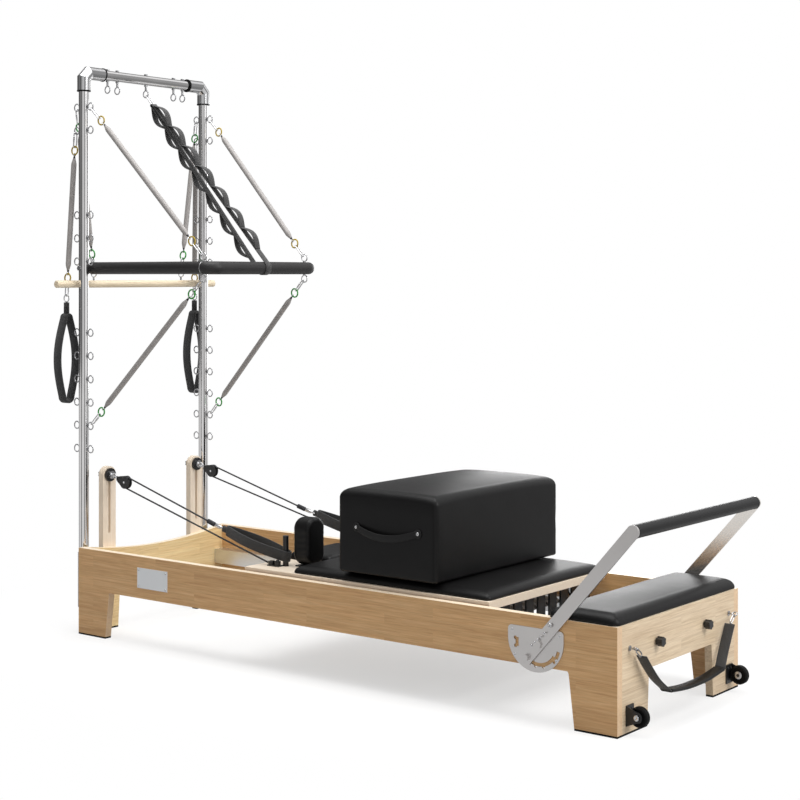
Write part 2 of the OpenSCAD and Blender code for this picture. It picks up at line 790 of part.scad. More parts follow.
// Through bolt along X with a ring in the XZ plane at each end
module double_eye(r, reach) {
  for (s = [-1, 1]) {
    translate([s * reach, 0, 0]) rotate([90, 0, 0]) ring(eye_r);
    translate([s * (r + 1.75), 0, 0]) rotate([0, 90, 0]) cylinder(r = 6, h = 2.5, center = true, $fn = 24);
  }
  rotate([0, 90, 0]) cylinder(r = eye_shank_r, h = 2 * (reach - eye_r), center = true, $fn = 24);
}

// Push bar: two arms pivoted on the posts, joined by a cross tube, with its spring eyes
module push_bar() {
  color(black) {
    for (s = [-1, 1]) {
      rod([post_x, s * bar_y, bar_h], [post_x + bar_reach - bar_bend_r, s * bar_y, bar_h], bar_r);
      translate([post_x, s * bar_y, bar_h]) sphere(bar_r);
      translate([post_x + bar_reach - bar_bend_r, s * (bar_y - bar_bend_r), bar_h])
        rotate([0, 0, s > 0 ? 0 : -90]) rotate_extrude(angle = 90) translate([bar_bend_r, 0]) circle(bar_r);
      rod([post_x, s * bar_y, bar_h], [post_x, s * (post_y + post_r + 3), bar_h], pin_r);
      translate([post_x, s * (post_y + post_r + 5), bar_h]) rotate([90, 0, 0])
        cylinder(r = 10, h = 4, center = true, $fn = 6);
      translate([bar_eye_x, s * bar_y, bar_h]) rotate([0, 90, 0]) double_eye(bar_r, bar_eye_out);
    }
    rod([post_x + bar_reach, -bar_y + bar_bend_r, bar_h],
        [post_x + bar_reach, bar_y - bar_bend_r, bar_h], bar_r);
  }
}

module upper_springs() {
  color(steel) for (s = [-1, 1])
    spring_set([bar_eye_x, s * bar_y, bar_h + bar_eye_out],
               [post_x + eye_out, s * post_y, top_eye_z]);
}

module lower_springs() {
  color(steel) for (s = [-1, 1])
    spring_set([post_x + eye_out, s * post_y, low_eye_z],
               [bar_eye_x, s * bar_y, bar_h - bar_eye_out]);
}

// Ladder strap from the top tube's middle eye round the push bar, with loops down both sides
module loop_strap() {
  p = [post_x, 0, tower_h - cross_eye_drop];
  q = [post_x + bar_reach, 0, bar_h];
  d = norm(q - p);
  s0 = eye_r - hook_gap + snap_l - hook_gap;
  band_t = 3;
  band_w = 28;
  mouth = 3.2;
  wrap = bar_r + seat_gap;
  loops = 7;
  bulge = 24;
  steps = 8;
  function spread(s) = mouth + (wrap - mouth) * (s - s0) / (d - s0);
  loop_l = (d - wrap - 50 - s0 - 12) / loops;
  color(black) along(p, q) {
    translate([0, 0, eye_r - hook_gap]) rotate([0, 0, 90]) long_link(snap_l, snap_r);
    rotate([90, 0, 0]) linear_extrude(band_w, center = true) {
      difference() {
        union() {
          polygon([[-mouth - band_t, s0 - band_t], [mouth + band_t, s0 - band_t],
                   [wrap + band_t, d], [-wrap - band_t, d]]);
          translate([0, d]) circle(wrap + band_t);
        }
        polygon([[-mouth, s0], [mouth, s0], [wrap, d], [-wrap, d]]);
        translate([0, d]) circle(wrap);
      }
      for (side = [-1, 1]) for (j = [0 : loops - 1])
        let (s1 = s0 + 12 + j * loop_l)
        polygon(concat(
          [for (i = [0 : steps]) let (s = s1 + loop_l * i / steps)
            [side * (spread(s) + 1 + bulge * sin(180 * i / steps)), s]],
          [for (i = [steps : -1 : 0]) let (s = s1 + loop_l * i / steps)
            [side * (spread(s) + 1 + band_t + bulge * sin(180 * i / steps)), s]]));
    }
  }
}

// Wooden roll bar with its two screw eyes
module roll_bar() {
  color("#e8d3ac") translate([roll_x, 0, roll_z]) {
    rotate([90, 0, 0]) cylinder(r = roll_r, h = roll_l - 6, center = true);
    for (s = [-1, 1])
      translate([0, s * (roll_l / 2 - 3), 0]) rotate([s * -90, 0, 0])
        cylinder(r1 = roll_r, r2 = roll_r - 3, h = 3);
  }
  color(steel) for (s = [-1, 1]) translate([roll_x, s * roll_eye_y, 0]) {
    translate([0, 0, roll_eye_z + eye_r]) rotate([90, 0, 0]) ring(eye_r);
    translate([0, 0, roll_z]) cylinder(r = eye_shank_r, h = roll_eye_z - roll_z, $fn = 24);
  }
}

module roll_springs() {
  color(steel) for (s = [-1, 1])
    spring_set([roll_x, s * roll_eye_y, roll_eye_z + eye_r - hook_lift],
               [hang_x, s * post_y, top_eye_z + hook_lift]);
}

// Padded foot loop on its ring, hung from a sleeved spring
module foot_strap(side) {
  y = side * strap_y;
  ring_low = strap_ring_z - eye_r;
  loop_top = ring_low - strap_neck_l;
  path = [for (p = strap_loop(strap_loop_l, strap_top_r, strap_low_r, strap_bulge))
    [strap_x, y + p[1], loop_top + 6 - p[0]]];
  color(steel) translate([strap_x, y, strap_ring_z]) rotate([90, 0, 0]) ring(eye_r);
  color(black) {
    ribbon(path, [1, 0, 0], strap_w, strap_t, true);
    difference() {
      translate([strap_x - strap_neck_w / 2, y - 5, loop_top - 2])
        cube([strap_neck_w, 10, strap_neck_l + 8]);
      translate([strap_x, y, strap_ring_z]) rotate([90, 0, 0]) ring(eye_r, wire_r + seat_gap);
      translate([strap_x, y, strap_ring_z]) rotate([90, 0, 0]) cylinder(r = eye_r, h = 12, center = true);
    }
  }
}

module strap_spring(side) {
  color(steel)
    spring_set([strap_x, side * strap_y, strap_ring_z],
               [hang_x - hook_out, side * (post_y + hook_side), second_eye_z + hook_up]);
}

// Foot end

// Half round plate with the arc slot and notches that set the foot bar
module quadrant(side) {
  notches = [-124, -100, -76];
  color(steel) translate([0, side > 0 ? hy + quad_t : -hy, 0]) rotate([90, 0, 0]) linear_extrude(quad_t)
    difference() {
      translate([quad_x, quad_z]) quadrant_outline();
      translate([pivot_x, pivot_z]) {
        circle(pivot_r + run_gap);
        arc_slot(slot_in, slot_out, -130, -30);
        arc_slot(slot_in + 8, slot_out + 8, -45, -12);
        for (a = notches) rotate(a) translate([slot_out, 0]) circle(5.5);
        arc_slot(slot_in + 16, slot_out + 16, 172, 192);
        for (a = [174, 190]) rotate(a) translate([slot_out + 17, 0]) circle(5.5);
      }
    }
}

// Half circle below, and above it a straight edge with round corners
module quadrant_outline() {
  r = quad_corner;
  x = quad_r - r;
  z = quad_top - quad_z - r;
  polygon(concat(
    [for (a = [180 : 5 : 360]) quad_r * [cos(a), sin(a)]],
    [for (a = [0 : 15 : 90]) [x + r * cos(a), z + r * sin(a)]],
    [for (a = [90 : 15 : 180]) [r * cos(a) - x, z + r * sin(a)]]));
}

// Slot along an arc with square ends
module arc_slot(r0, r1, a0, a1) {
  steps = 12;
  polygon(concat(
    [for (i = [0 : steps]) let (a = a0 + (a1 - a0) * i / steps) r1 * [cos(a), sin(a)]],
    [for (i = [steps : -1 : 0]) let (a = a0 + (a1 - a0) * i / steps) r0 * [cos(a), sin(a)]]));
}

// Flat arms of the foot bar, round at the grip and square at the tail
module footbar_arms() {
  color(steel) for (s = [-1, 1])
    translate([pivot_x, s > 0 ? arm_y + arm_t : -arm_y, pivot_z]) rotate([90, 0, 0])
      linear_extrude(arm_t) rotate(arm_lean) {
        translate([-tail_l, -arm_w / 2]) square([tail_l + arm_l, arm_w]);
        translate([arm_l, 0]) circle(arm_w / 2);
      }
  footbar_pins();
}

module footbar_grip() {
  half = arm_y - seat_gap / 3;
  color(black) translate([pivot_x + arm_l * cos(arm_lean), 0, pivot_z + arm_l * sin(arm_lean)])
    rotate([90, 0, 0]) cylinder(r = grip_r, h = 2 * half, center = true);
}

// Pivot bolts of the foot bar, and the latch knobs at the arms' tails
module footbar_pins() {
  latch = -58;
  color(steel) for (s = [-1, 1]) {
    rod([pivot_x, s * (hy - rail_t / 2 + 2), pivot_z], [pivot_x, s * (arm_y + arm_t), pivot_z], pivot_r);
    translate([pivot_x, s * (arm_y + arm_t + 3), pivot_z]) rotate([90, 0, 0])
      cylinder(r = 13, h = 6, center = true);
    translate([pivot_x + latch * cos(arm_lean), s * (arm_y + arm_t + 5), pivot_z + latch * sin(arm_lean)])
      rotate([90, 0, 0]) cylinder(r = 9, h = 10, center = true);
  }
}

module knob(side) {
  color(black) translate([hx, side * knob_y, knob_z]) rotate([0, 90, 0]) {
    translate([0, 0, 4]) star(15, 20);
    translate([0, 0, 1]) cylinder(r = 9, h = 4);
    translate([0, 0, -board_t - 5]) cylinder(r = knob_stem_r, h = board_t + 7);
  }
}

// Bare plate held to the near rail by four screws
module name_plate() {
  color("#e8eaec") translate([-hx + 392, -hy, rail_z0 + 74]) rotate([90, 0, 0]) {
    translate([0, 0, plate_t / 2]) cube([plate_l, plate_w, plate_t], center = true);
    for (x = [-1, 1]) for (y = [-1, 1])
      translate([x * (plate_l / 2 - 8), y * (plate_w / 2 - 8), 0]) cylinder(r = 3, h = plate_t + 1);
  }
}

// One sided brackets that carry the transport wheels beside them
module wheel_brackets() {
  cheek_y = wheel_y + wheel_w / 2 + 2;
  color(black) for (s = [-1, 1]) scale([1, s, 1]) {
    translate([hx, cheek_y - 38, wheel_z - 30]) cube([4, 42, 60]);
    translate([0, cheek_y + 4, 0]) rotate([90, 0, 0]) linear_extrude(4) {
      polygon([[hx, wheel_z - 30], [wheel_x, wheel_z - 16], [wheel_x, wheel_z + 16], [hx, wheel_z + 30]]);
      translate([wheel_x, wheel_z]) circle(16);
    }
    rod([wheel_x, cheek_y + 7, wheel_z], [wheel_x, wheel_y - wheel_w / 2 - 3, wheel_z], 5);
    rod([wheel_x, cheek_y + 8, wheel_z], [wheel_x, cheek_y + 3, wheel_z], 8);
  }
}

module transport_wheel(side) {
  color(black) translate([wheel_x, side * wheel_y, wheel_z]) rotate([90, 0, 0])
    rotate_extrude() difference() {
      translate([5 + run_gap, -wheel_w / 2]) square([wheel_r - 5 - run_gap, wheel_w]);
      for (s = [-1, 1])
        translate([12, s > 0 ? wheel_w / 2 - 3 : -wheel_w / 2 - 1]) square([wheel_r - 19, 4]);
      for (s = [-1, 1])
        translate([wheel_r, s * wheel_w / 2]) rotate(45) square(5, center = true);
    }
}

// Carry strap: two lengths of webbing and a padded grip between them
module carry_strap() {
  top = link_z - link_drop;
  low = top - carry_drop;
  half = [[link_y - link_side, top, 0], [link_y - 58, top - 0.35 * carry_drop, 4],
          [link_y - 92, top - 0.7 * carry_drop, 10], [link_y - 150, low, 20]];
  grip = [[118, low - 6, 21], [60, low - 13, 22]];
  side = concat(half, grip);
  path = concat([for (p = side) [hx + link_out + p[2], -p[0], p[1]]], [[hx + 2 * link_out, 0, low - 15]],
                [for (i = [len(side) - 1 : -1 : 0])
                  [hx + link_out + side[i][2], side[i][0], side[i][1]]]);
  color(black) ribbon(path, [1, 0, 0], carry_w, carry_t);
}

// Eye bolt and long link at each end of the carry strap
module carry_links() {
  color(steel) for (s = [-1, 1]) scale([1, s, 1])
    translate([hx, link_y, link_z]) rotate([-link_pull, 0, 0]) {
      rotate([0, 90, 0]) cylinder(r = 8, h = 3);
      rotate([0, 90, 0]) cylinder(r = 3, h = link_out - link_eye_r);
      translate([link_out, 0, 0]) rotate([90, 0, 0]) ring(link_eye_r, link_w);
      translate([link_out, 0, -link_hook - link_l]) rotate([0, 0, 90])
        long_link(link_l, link_half, link_w);
    }
}

// Carriage

module carriage_deck() {
  color("#e6cfa6") difference() {
    translate([deck_x0, -deck_hy, deck_z0]) cube([deck_l, 2 * deck_hy, deck_t]);
    for (s = [-1, 1])
      translate([deck_x0 - 1, s * deck_hy - (s > 0 ? 3 : 0), deck_z0 + deck_t / 2 - 2])
        cube([deck_l + 2, 3, 4]);
  }
}

module carriage_pad() {
  color(black) translate([pad_x, 0, deck_top + seat_gap])
    cushion(pad_l / 2, pad_hy, pad_h, 40, 14, pad_crown, 2);
}

// Brackets that hold the carriage wheels under the deck, and the spring hanger
module carriage_trucks() {
  plate_t = 3;
  color(steel) {
    for (s = [-1, 1]) for (x = [roller_head_x, roller_foot_x]) {
      for (y = [-1, 1])
        translate([x, s * roller_y + y * (roller_w / 2 + 1 + plate_t / 2) + plate_t / 2, 0])
          rotate([90, 0, 0]) linear_extrude(plate_t) {
            translate([-18, axle_z]) square([36, deck_z0 - axle_z]);
            translate([0, axle_z]) circle(18);
          }
      rod([x, s * roller_y - roller_w / 2 - 3, axle_z], [x, s * roller_y + roller_w / 2 + 3, axle_z], axle_r);
    }
    translate([hanger_x - 6, -190, spring_z - 16]) cube([6, 380, deck_z0 - spring_z + 16]);
  }
}

module carriage_wheels(x) {
  color("#3a3a3d") for (s = [-1, 1])
    translate([x, s * roller_y, axle_z]) rotate([90, 0, 0]) rotate_extrude() difference() {
      translate([axle_r + run_gap, -roller_w / 2]) square([roller_r - axle_r - run_gap, roller_w]);
      for (e = [-1, 1])
        translate([10, e > 0 ? roller_w / 2 - 3 : -roller_w / 2 - 1]) square([roller_r - 15, 4]);
    }
}

// Upright shoulder pad with rounded shoulders
module shoulder_rest(side) {
  color(black)
    translate([rest_x + rest_t / 2, side * rest_y, deck_top + 4 + seat_gap + rest_h / 2])
      rotate([0, -90, 0]) shoulder_pad();
}

// The pad lies in XY here, with its height along X and its thickness along Z
module shoulder_pad() {
  r = 30;
  rim = 14;
  body = rest_t - 6;
  cushion(rest_h / 2, rest_w / 2, body, r, rim, 6, 2);
}

// Steel feet of the shoulder rests and the black strap pegs
module shoulder_posts() {
  color(black) for (s = [-1, 1]) {
    translate([rest_x - rest_t / 2 + 2, s * rest_y - rest_w / 2 + 8, deck_top])
      cube([rest_t - 4, rest_w - 16, 4]);
    translate([peg_x, s * peg_y, deck_top]) {
      cylinder(r = peg_r, h = peg_h);
      cylinder(r = peg_r + 1, h = 5);
    }
  }
}

// Jam cleats that set the rope length, one on each side of the deck's head end
module rope_cleats() {
  color(black) for (s = [-1, 1]) translate([cleat_x, s * cleat_y, deck_top]) {
    translate([2, -13, 0]) cube([52, 26, 4]);
    difference() {
      translate([12, 0, 4]) cylinder(r = 12, h = 12);
      translate([11, -rope_r - 1, 4]) cube([14, 2 * rope_r + 2, 14]);
      translate([-2, -rope_r - 1, 4]) cube([14, 2 * rope_r + 2, 14]);
    }
    translate([40, 0, 4]) cylinder(r = 11, h = 14);
    translate([40, 0, 18]) sphere(6);
  }
}

// Padded hand loop over its peg, with the clip that joins it to the rope
module hand_strap(side) {
  start = [strap_near_x, side * peg_y, clip_z - (strap_near_x - clip_x) * tan(strap_tilt)];
  path = [for (p = strap_loop(hand_strap_l, 6, peg_r + 4, hand_bulge)) [p[0], p[1], 0]];
  color(black) translate(start) rotate([0, strap_tilt, 0]) {
    ribbon(path, [0, 0, 1], hand_band_w, 5, true);
    translate([-20, -6, -12]) cube([22, 12, 24]);
  }
  color(steel) translate([clip_x, side * clip_y, clip_z]) rotate([0, 90 + strap_tilt, 0]) {
    cylinder(r = 7, h = 30);
    translate([0, 0, 26]) cylinder(r = 4, h = 20);
  }
}

// Headrest pad, hinged at the edge next to the carriage pad
module headrest_pad() {
  color(black) translate([headrest_x1 - headrest_l / 2, 0, deck_top + seat_gap])
    cushion(headrest_l / 2, headrest_w / 2, pad_h, 24, 14, pad_crown, 2);
}

// Sitting box

module sitting_box() {
  color(black) translate([box_x, 0, box_z0])
    cushion(box_w / 2, box_l / 2, box_h, 22, 18, box_crown, 3);
}

// Leather handles that sag and stand off the two ends of the box
module box_handles() {
  z = box_z0 + box_h * 0.55;
  sag = 26;
  bow = 22;
  steps = 14;
  tab_h = 4;
  // The box's end draws in by this much where the tabs sit
  side_in = 2.34;
  tab_y = box_l / 2 - side_in + seat_gap + tab_h / 2;
  color(black) for (s = [-1, 1]) {
    path = [for (i = [0 : steps]) let (t = i / steps, a = 180 * t)
      [box_x + handle_span * (t - 0.5), s * (tab_y + bow * sin(a)), z - sag * sin(a)]];
    ribbon(path, [0, 0, 1], handle_w, 3);
    for (e = [-1, 1])
      translate([box_x + e * (handle_span / 2 + 4), s * tab_y, z]) rotate([90, 0, 0])
        cylinder(r = handle_w / 2, h = tab_h, center = true, $fn = 32);
  }
}

// Nodes, each set off from the outline's middle

module place() {
  translate([mid_x, 0, 0]) children();
}

place() side_rail(near);  // side_rail_near
place() side_rail(far);  // side_rail_far
place() head_board();
place() foot_board();
place() leg_pads();
place() track_rails();
place() standing_board();
place() standing_pad();
place() gear_bar();
place() carriage_springs();
place() riser(near);  // riser_near
place() riser(far);  // riser_far
place() riser_clamps();
place() pulley_blocks();
place() rope(near);  // rope_near
place() rope(far);  // rope_far
place() post(near);  // post_near
place() post(far);  // post_far
place() crossbar();
place() elbows();
place() post_brackets();
place() eye_bolts();
place() quadrant(near);  // quadrant_near
place() quadrant(far);  // quadrant_far
place() wheel_brackets();
place() carry_strap();
place() carry_links();
place() name_plate();
place() footbar_arms();
place() footbar_grip();
place() carriage_deck();
place() carriage_pad();
place() carriage_trucks();
place() shoulder_rest(near);  // shoulder_rest_near
place() shoulder_rest(far);  // shoulder_rest_far
place() shoulder_posts();
place() rope_cleats();
place() hand_strap(near);  // hand_strap_near
place() hand_strap(far);  // hand_strap_far
place() carriage_wheels(roller_head_x);  // carriage_wheels_head
place() carriage_wheels(roller_foot_x);  // carriage_wheels_foot
place() headrest_pad();
place() sitting_box();
place() box_handles();
place() sheave(near);  // sheave_near
place() sheave(far);  // sheave_far
place() push_bar();
place() upper_springs();
place() lower_springs();
place() loop_strap();
place() roll_bar();
place() roll_springs();
place() foot_strap(near);  // foot_strap_near
place() foot_strap(far);  // foot_strap_far
place() strap_spring(near);  // strap_spring_near
place() strap_spring(far);  // strap_spring_far
place() transport_wheel(near);  // transport_wheel_near
place() transport_wheel(far);  // transport_wheel_far
place() knob(near);  // knob_near
place() knob(far);  // knob_far
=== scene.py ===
import math
import bmesh
import bpy
from mathutils import Matrix, Vector


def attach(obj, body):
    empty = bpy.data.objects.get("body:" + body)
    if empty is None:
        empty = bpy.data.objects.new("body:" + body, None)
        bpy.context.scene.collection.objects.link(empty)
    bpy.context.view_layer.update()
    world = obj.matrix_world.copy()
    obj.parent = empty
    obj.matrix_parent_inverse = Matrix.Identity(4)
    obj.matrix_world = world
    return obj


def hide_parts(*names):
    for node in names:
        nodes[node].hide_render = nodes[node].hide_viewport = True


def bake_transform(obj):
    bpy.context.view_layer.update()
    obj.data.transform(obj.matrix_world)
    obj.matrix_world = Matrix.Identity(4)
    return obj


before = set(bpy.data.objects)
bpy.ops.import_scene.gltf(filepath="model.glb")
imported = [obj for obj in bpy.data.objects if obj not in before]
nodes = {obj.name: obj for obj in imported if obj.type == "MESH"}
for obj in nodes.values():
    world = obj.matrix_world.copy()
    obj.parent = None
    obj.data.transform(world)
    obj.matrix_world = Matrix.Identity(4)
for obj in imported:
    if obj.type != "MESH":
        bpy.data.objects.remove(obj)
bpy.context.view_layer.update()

# Places and sizes in millimetres, as in the CAD source, from the middle of the wooden frame
SIDES = (-1, 1)
NAMES = {-1: "near", 1: "far"}
FRAME_END = 1150
RAIL_FACE = 385
FRAME_TOP = 320
DECK_TOP = 330
SEAT_GAP = 0.3
POST_X = -1196.0
POST_Y = 319.0
TOWER_H = 2097.0
EYE_OUT = 38
EYE_R = 13.5
EYE_LOW = 680
EYE_PITCH = 87.5
TOP_EYE = EYE_LOW + 14.71 * EYE_PITCH
SECOND_EYE = EYE_LOW + 13.71 * EYE_PITCH
LOW_EYE = EYE_LOW + EYE_PITCH
WIRE = 2.3
HANG_X = POST_X - EYE_OUT
STRAP_X = HANG_X - 34
STRAP_Y = POST_Y + 22
STRAP_RING_Z = 1246
STRAP_SOLID_W = 34
BAR_Y = 275.0
BAR_H = 1360.0
BAR_R = 23
BAR_REACH = 625
ROLL_X = -1236
ROLL_Z = BAR_H - 60
PIVOT_X = 885
PIVOT_Z = 238
ARM_L = 484
LEAN = math.radians(48.5)
GRIP_X = PIVOT_X + ARM_L * math.cos(LEAN)
GRIP_Z = PIVOT_Z + ARM_L * math.sin(LEAN)
GRIP_R = 20
REACH_HEAD = -(STRAP_X - STRAP_SOLID_W / 2)
REACH_FOOT = GRIP_X + GRIP_R
MID_X = (REACH_HEAD - REACH_FOOT) / 2
AXIS_X = Vector((1, 0, 0))
AXIS_Y = Vector((0, 1, 0))
UP = Vector((0, 0, 1))


def place(x, y, z):
    """A point in metres in the shared frame, from millimetres as above."""
    return Vector(((x + MID_X) / 1000, y / 1000, z / 1000))


# Camera, at the photograph's place

CAMERA_PLACE = (3566.2, -4533.2, 1329.6)
CAMERA_TURN = math.radians(37.691)
CAMERA_LENS = 74.57
CAMERA_SHIFT = -0.1547


def link(thing):
    bpy.context.scene.collection.objects.link(thing)
    return thing


cam_data = bpy.data.cameras.new("camera")
cam_data.sensor_width = 36
cam_data.lens = CAMERA_LENS
cam_data.shift_y = CAMERA_SHIFT
cam_data.clip_end = 60
cam = link(bpy.data.objects.new("camera", cam_data))
cam.location = place(*CAMERA_PLACE)
cam.rotation_euler = (math.radians(90), 0, CAMERA_TURN)
bpy.context.scene.camera = cam


# Mesh helpers, in metres

def mesh_object(name, verts, faces, mat, uvs=None):
    mesh = bpy.data.meshes.new(name)
    mesh.from_pydata([tuple(v) for v in verts], [], faces)
    mesh.validate()
    if uvs:
        layer = mesh.uv_layers.new(name="UVMap")
        for loop, corner in zip(mesh.loops, layer.data):
            corner.uv = uvs[loop.vertex_index]
    for face in mesh.polygons:
        face.use_smooth = True
    bm = bmesh.new()
    bm.from_mesh(mesh)
    bmesh.ops.recalc_face_normals(bm, faces=bm.faces)
    bm.to_mesh(mesh)
    bm.free()
    mesh.materials.append(mat)
    return link(bpy.data.objects.new(name, mesh))


def join_parts(name, parts, mat):
    """One object from parts that are each (verts, faces) or (verts, faces, uvs)."""
    verts, faces, uvs = [], [], []
    for part in parts:
        first = len(verts)
        verts += part[0]
        faces += [tuple(i + first for i in face) for face in part[1]]
        if len(part) > 2:
            uvs += part[2]
    return mesh_object(name, verts, faces, mat, uvs)


def skin(rows, sides, closed=False):
    """Faces between rows of points. An open run of rows ends in a cap at each end."""
    faces = []
    for i in range(rows if closed else rows - 1):
        j = (i + 1) % rows
        for k in range(sides):
            n = (k + 1) % sides
            faces.append((i * sides + k, i * sides + n, j * sides + n, j * sides + k))
    if not closed:
        faces.append(tuple(range(sides - 1, -1, -1)))
        faces.append(tuple(range((rows - 1) * sides, rows * sides)))
    return faces


def heading(path, i, closed):
    """From the point before i to the point after it."""
    if closed:
        return path[(i + 1) % len(path)] - path[i - 1]
    return path[min(i + 1, len(path) - 1)] - path[max(i - 1, 0)]


def tube(path, radius, sides=12, closed=False):
    """Round tube with no twist. radius is a number or one for each point."""
    verts = []
    normal = None
    for i, p in enumerate(path):
        t = heading(path, i, closed).normalized()
        if normal is None:
            normal = UP if abs(t.z) < 0.9 else AXIS_Y
        normal = (normal - t * normal.dot(t)).normalized()
        across = t.cross(normal)
        r = radius[i] if hasattr(radius, "__len__") else radius
        for k in range(sides):
            a = 2 * math.pi * k / sides
            verts.append(p + (across * math.cos(a) + normal * math.sin(a)) * r)
    return verts, skin(len(path), sides, closed)


def ring(centre, axis, r, wire, steps=36, sides=10):
    axis = Vector(axis).normalized()
    start = UP if abs(axis.z) < 0.9 else AXIS_X
    u = (start - axis * start.dot(axis)).normalized()
    v = axis.cross(u)
    path = []
    for i in range(steps):
        a = 2 * math.pi * i / steps
        path.append(centre + (u * math.cos(a) + v * math.sin(a)) * r)
    return tube(path, wire, sides, closed=True)


def lathe(profile, matrix, steps=32, folds=None):
    """Revolves (radius, height) points about Z, then places them. folds scales the radius."""
    verts = []
    for radius, z in profile:
        for k in range(steps):
            a = 2 * math.pi * k / steps
            r = radius * folds(a, z) if folds else radius
            verts.append(matrix @ Vector((r * math.cos(a), r * math.sin(a), z)))
    return verts, skin(len(profile), steps)


def along(p, q):
    """Matrix that puts local Z on the line from p to q, with no twist."""
    turn = UP.rotation_difference((q - p).normalized())
    return Matrix.Translation(p) @ turn.to_matrix().to_4x4()


def band(path, wide, width, thickness, closed=False, bulge=0.0, rounding=3):
    """Flat strap with rounded edges, whose width lies along the direction wide."""
    wide = wide.normalized()
    r = thickness / 2
    section = []
    for s in (1, -1):
        for i in range(rounding + 1):
            a = math.pi * i / rounding
            section.append((s * (width / 2 - r + r * math.sin(a)), s * r * math.cos(a)))
    verts, uvs = [], []
    length = 0.0
    for i, p in enumerate(path):
        thick = wide.cross(heading(path, i, closed)).normalized()
        if i:
            length += (p - path[i - 1]).length
        for a, b in section:
            swell = 1 + bulge * (1 - (2 * a / width) ** 2)
            verts.append(p + wide * a + thick * (b * swell))
            uvs.append((length, a))
    return verts, skin(len(path), len(section), closed), uvs


def smooth_path(points, steps):
    """Catmull-Rom curve through the points."""
    out = []
    last = len(points) - 1
    for i in range(last):
        p0, p1, p2, p3 = points[max(i - 1, 0)], points[i], points[i + 1], points[min(i + 2, last)]
        for k in range(steps):
            t = k / steps
            out.append(0.5 * ((2 * p1) + (p2 - p0) * t + (2 * p0 - 5 * p1 + 4 * p2 - p3) * t * t
                              + (3 * p1 - p0 - 3 * p2 + p3) * t ** 3))
    out.append(points[-1].copy())
    return out


# Shader helpers

def feed(tree, value, socket):
    """Links an output to the socket, or sets the socket's own value."""
    if hasattr(value, "is_output"):
        tree.links.new(value, socket)
    elif value is not None:
        socket.default_value = (*value, 1) if socket.type == "RGBA" else value


def node(tree, kind, inputs=None, **settings):
    n = tree.nodes.new(kind)
    for key, value in settings.items():
        setattr(n, key, value)
    for key, value in (inputs or {}).items():
        feed(tree, value, n.inputs[key])
    return n


def material(name):
    m = bpy.data.materials.new(name)
    m.use_nodes = True
    return m, m.node_tree, m.node_tree.nodes["Principled BSDF"]


def dress(tree, shader, **values):
    """Feeds the shader's sockets, whose names are written with _ for a space."""
    for key, value in values.items():
        feed(tree, value, shader.inputs[key.replace("_", " ")])


def stretched(tree, vector, scale):
    return node(tree, "ShaderNodeMapping", {"Vector": vector, "Scale": scale}).outputs[0]


def coords(tree, scale=(1, 1, 1), kind="Object"):
    return stretched(tree, node(tree, "ShaderNodeTexCoord").outputs[kind], scale)


def ramp(tree, fac, stops):
    r = node(tree, "ShaderNodeValToRGB", {"Fac": fac})
    elements = r.color_ramp.elements
    while len(elements) < len(stops):
        elements.new(0.5)
    for e, (position, colour) in zip(elements, stops):
        e.position = position
        e.color = (*colour, 1)
    return r.outputs["Color"]


def shades(tree, fac, colour, low, high, start=0.3, end=0.7):
    """The colour, from low times it to high times it as fac goes from start to end."""
    darker = tuple(v * low for v in colour)
    paler = tuple(min(1, v * high) for v in colour)
    return ramp(tree, fac, [(start, darker), (end, paler)])


def mix(tree, a, b, fac, blend="MIX"):
    m = node(tree, "ShaderNodeMix", data_type="RGBA", blend_type=blend)
    for i, value in ((0, fac), (6, a), (7, b)):
        feed(tree, value, m.inputs[i])
    return m.outputs[2]


def bump(tree, shader, height, strength, distance, over=None):
    inputs = {"Strength": strength, "Distance": distance, "Height": height, "Normal": over}
    b = node(tree, "ShaderNodeBump", inputs)
    tree.links.new(b.outputs["Normal"], shader.inputs["Normal"])
    return b.outputs["Normal"]


def noise(tree, vector, scale, detail=4, rough=0.55, distortion=0.0):
    inputs = {"Vector": vector, "Scale": scale, "Detail": detail, "Roughness": rough,
              "Distortion": distortion}
    return node(tree, "ShaderNodeTexNoise", inputs).outputs["Fac"]


def math_node(tree, operation, a, b=None):
    return node(tree, "ShaderNodeMath", {0: a, 1: b}, operation=operation).outputs[0]


def map_range(tree, value, low, high, start=0.0, end=1.0, kind="LINEAR"):
    inputs = {"From Min": start, "From Max": end, "To Min": low, "To Max": high, "Value": value}
    return node(tree, "ShaderNodeMapRange", inputs, interpolation_type=kind).outputs[0]


# Materials

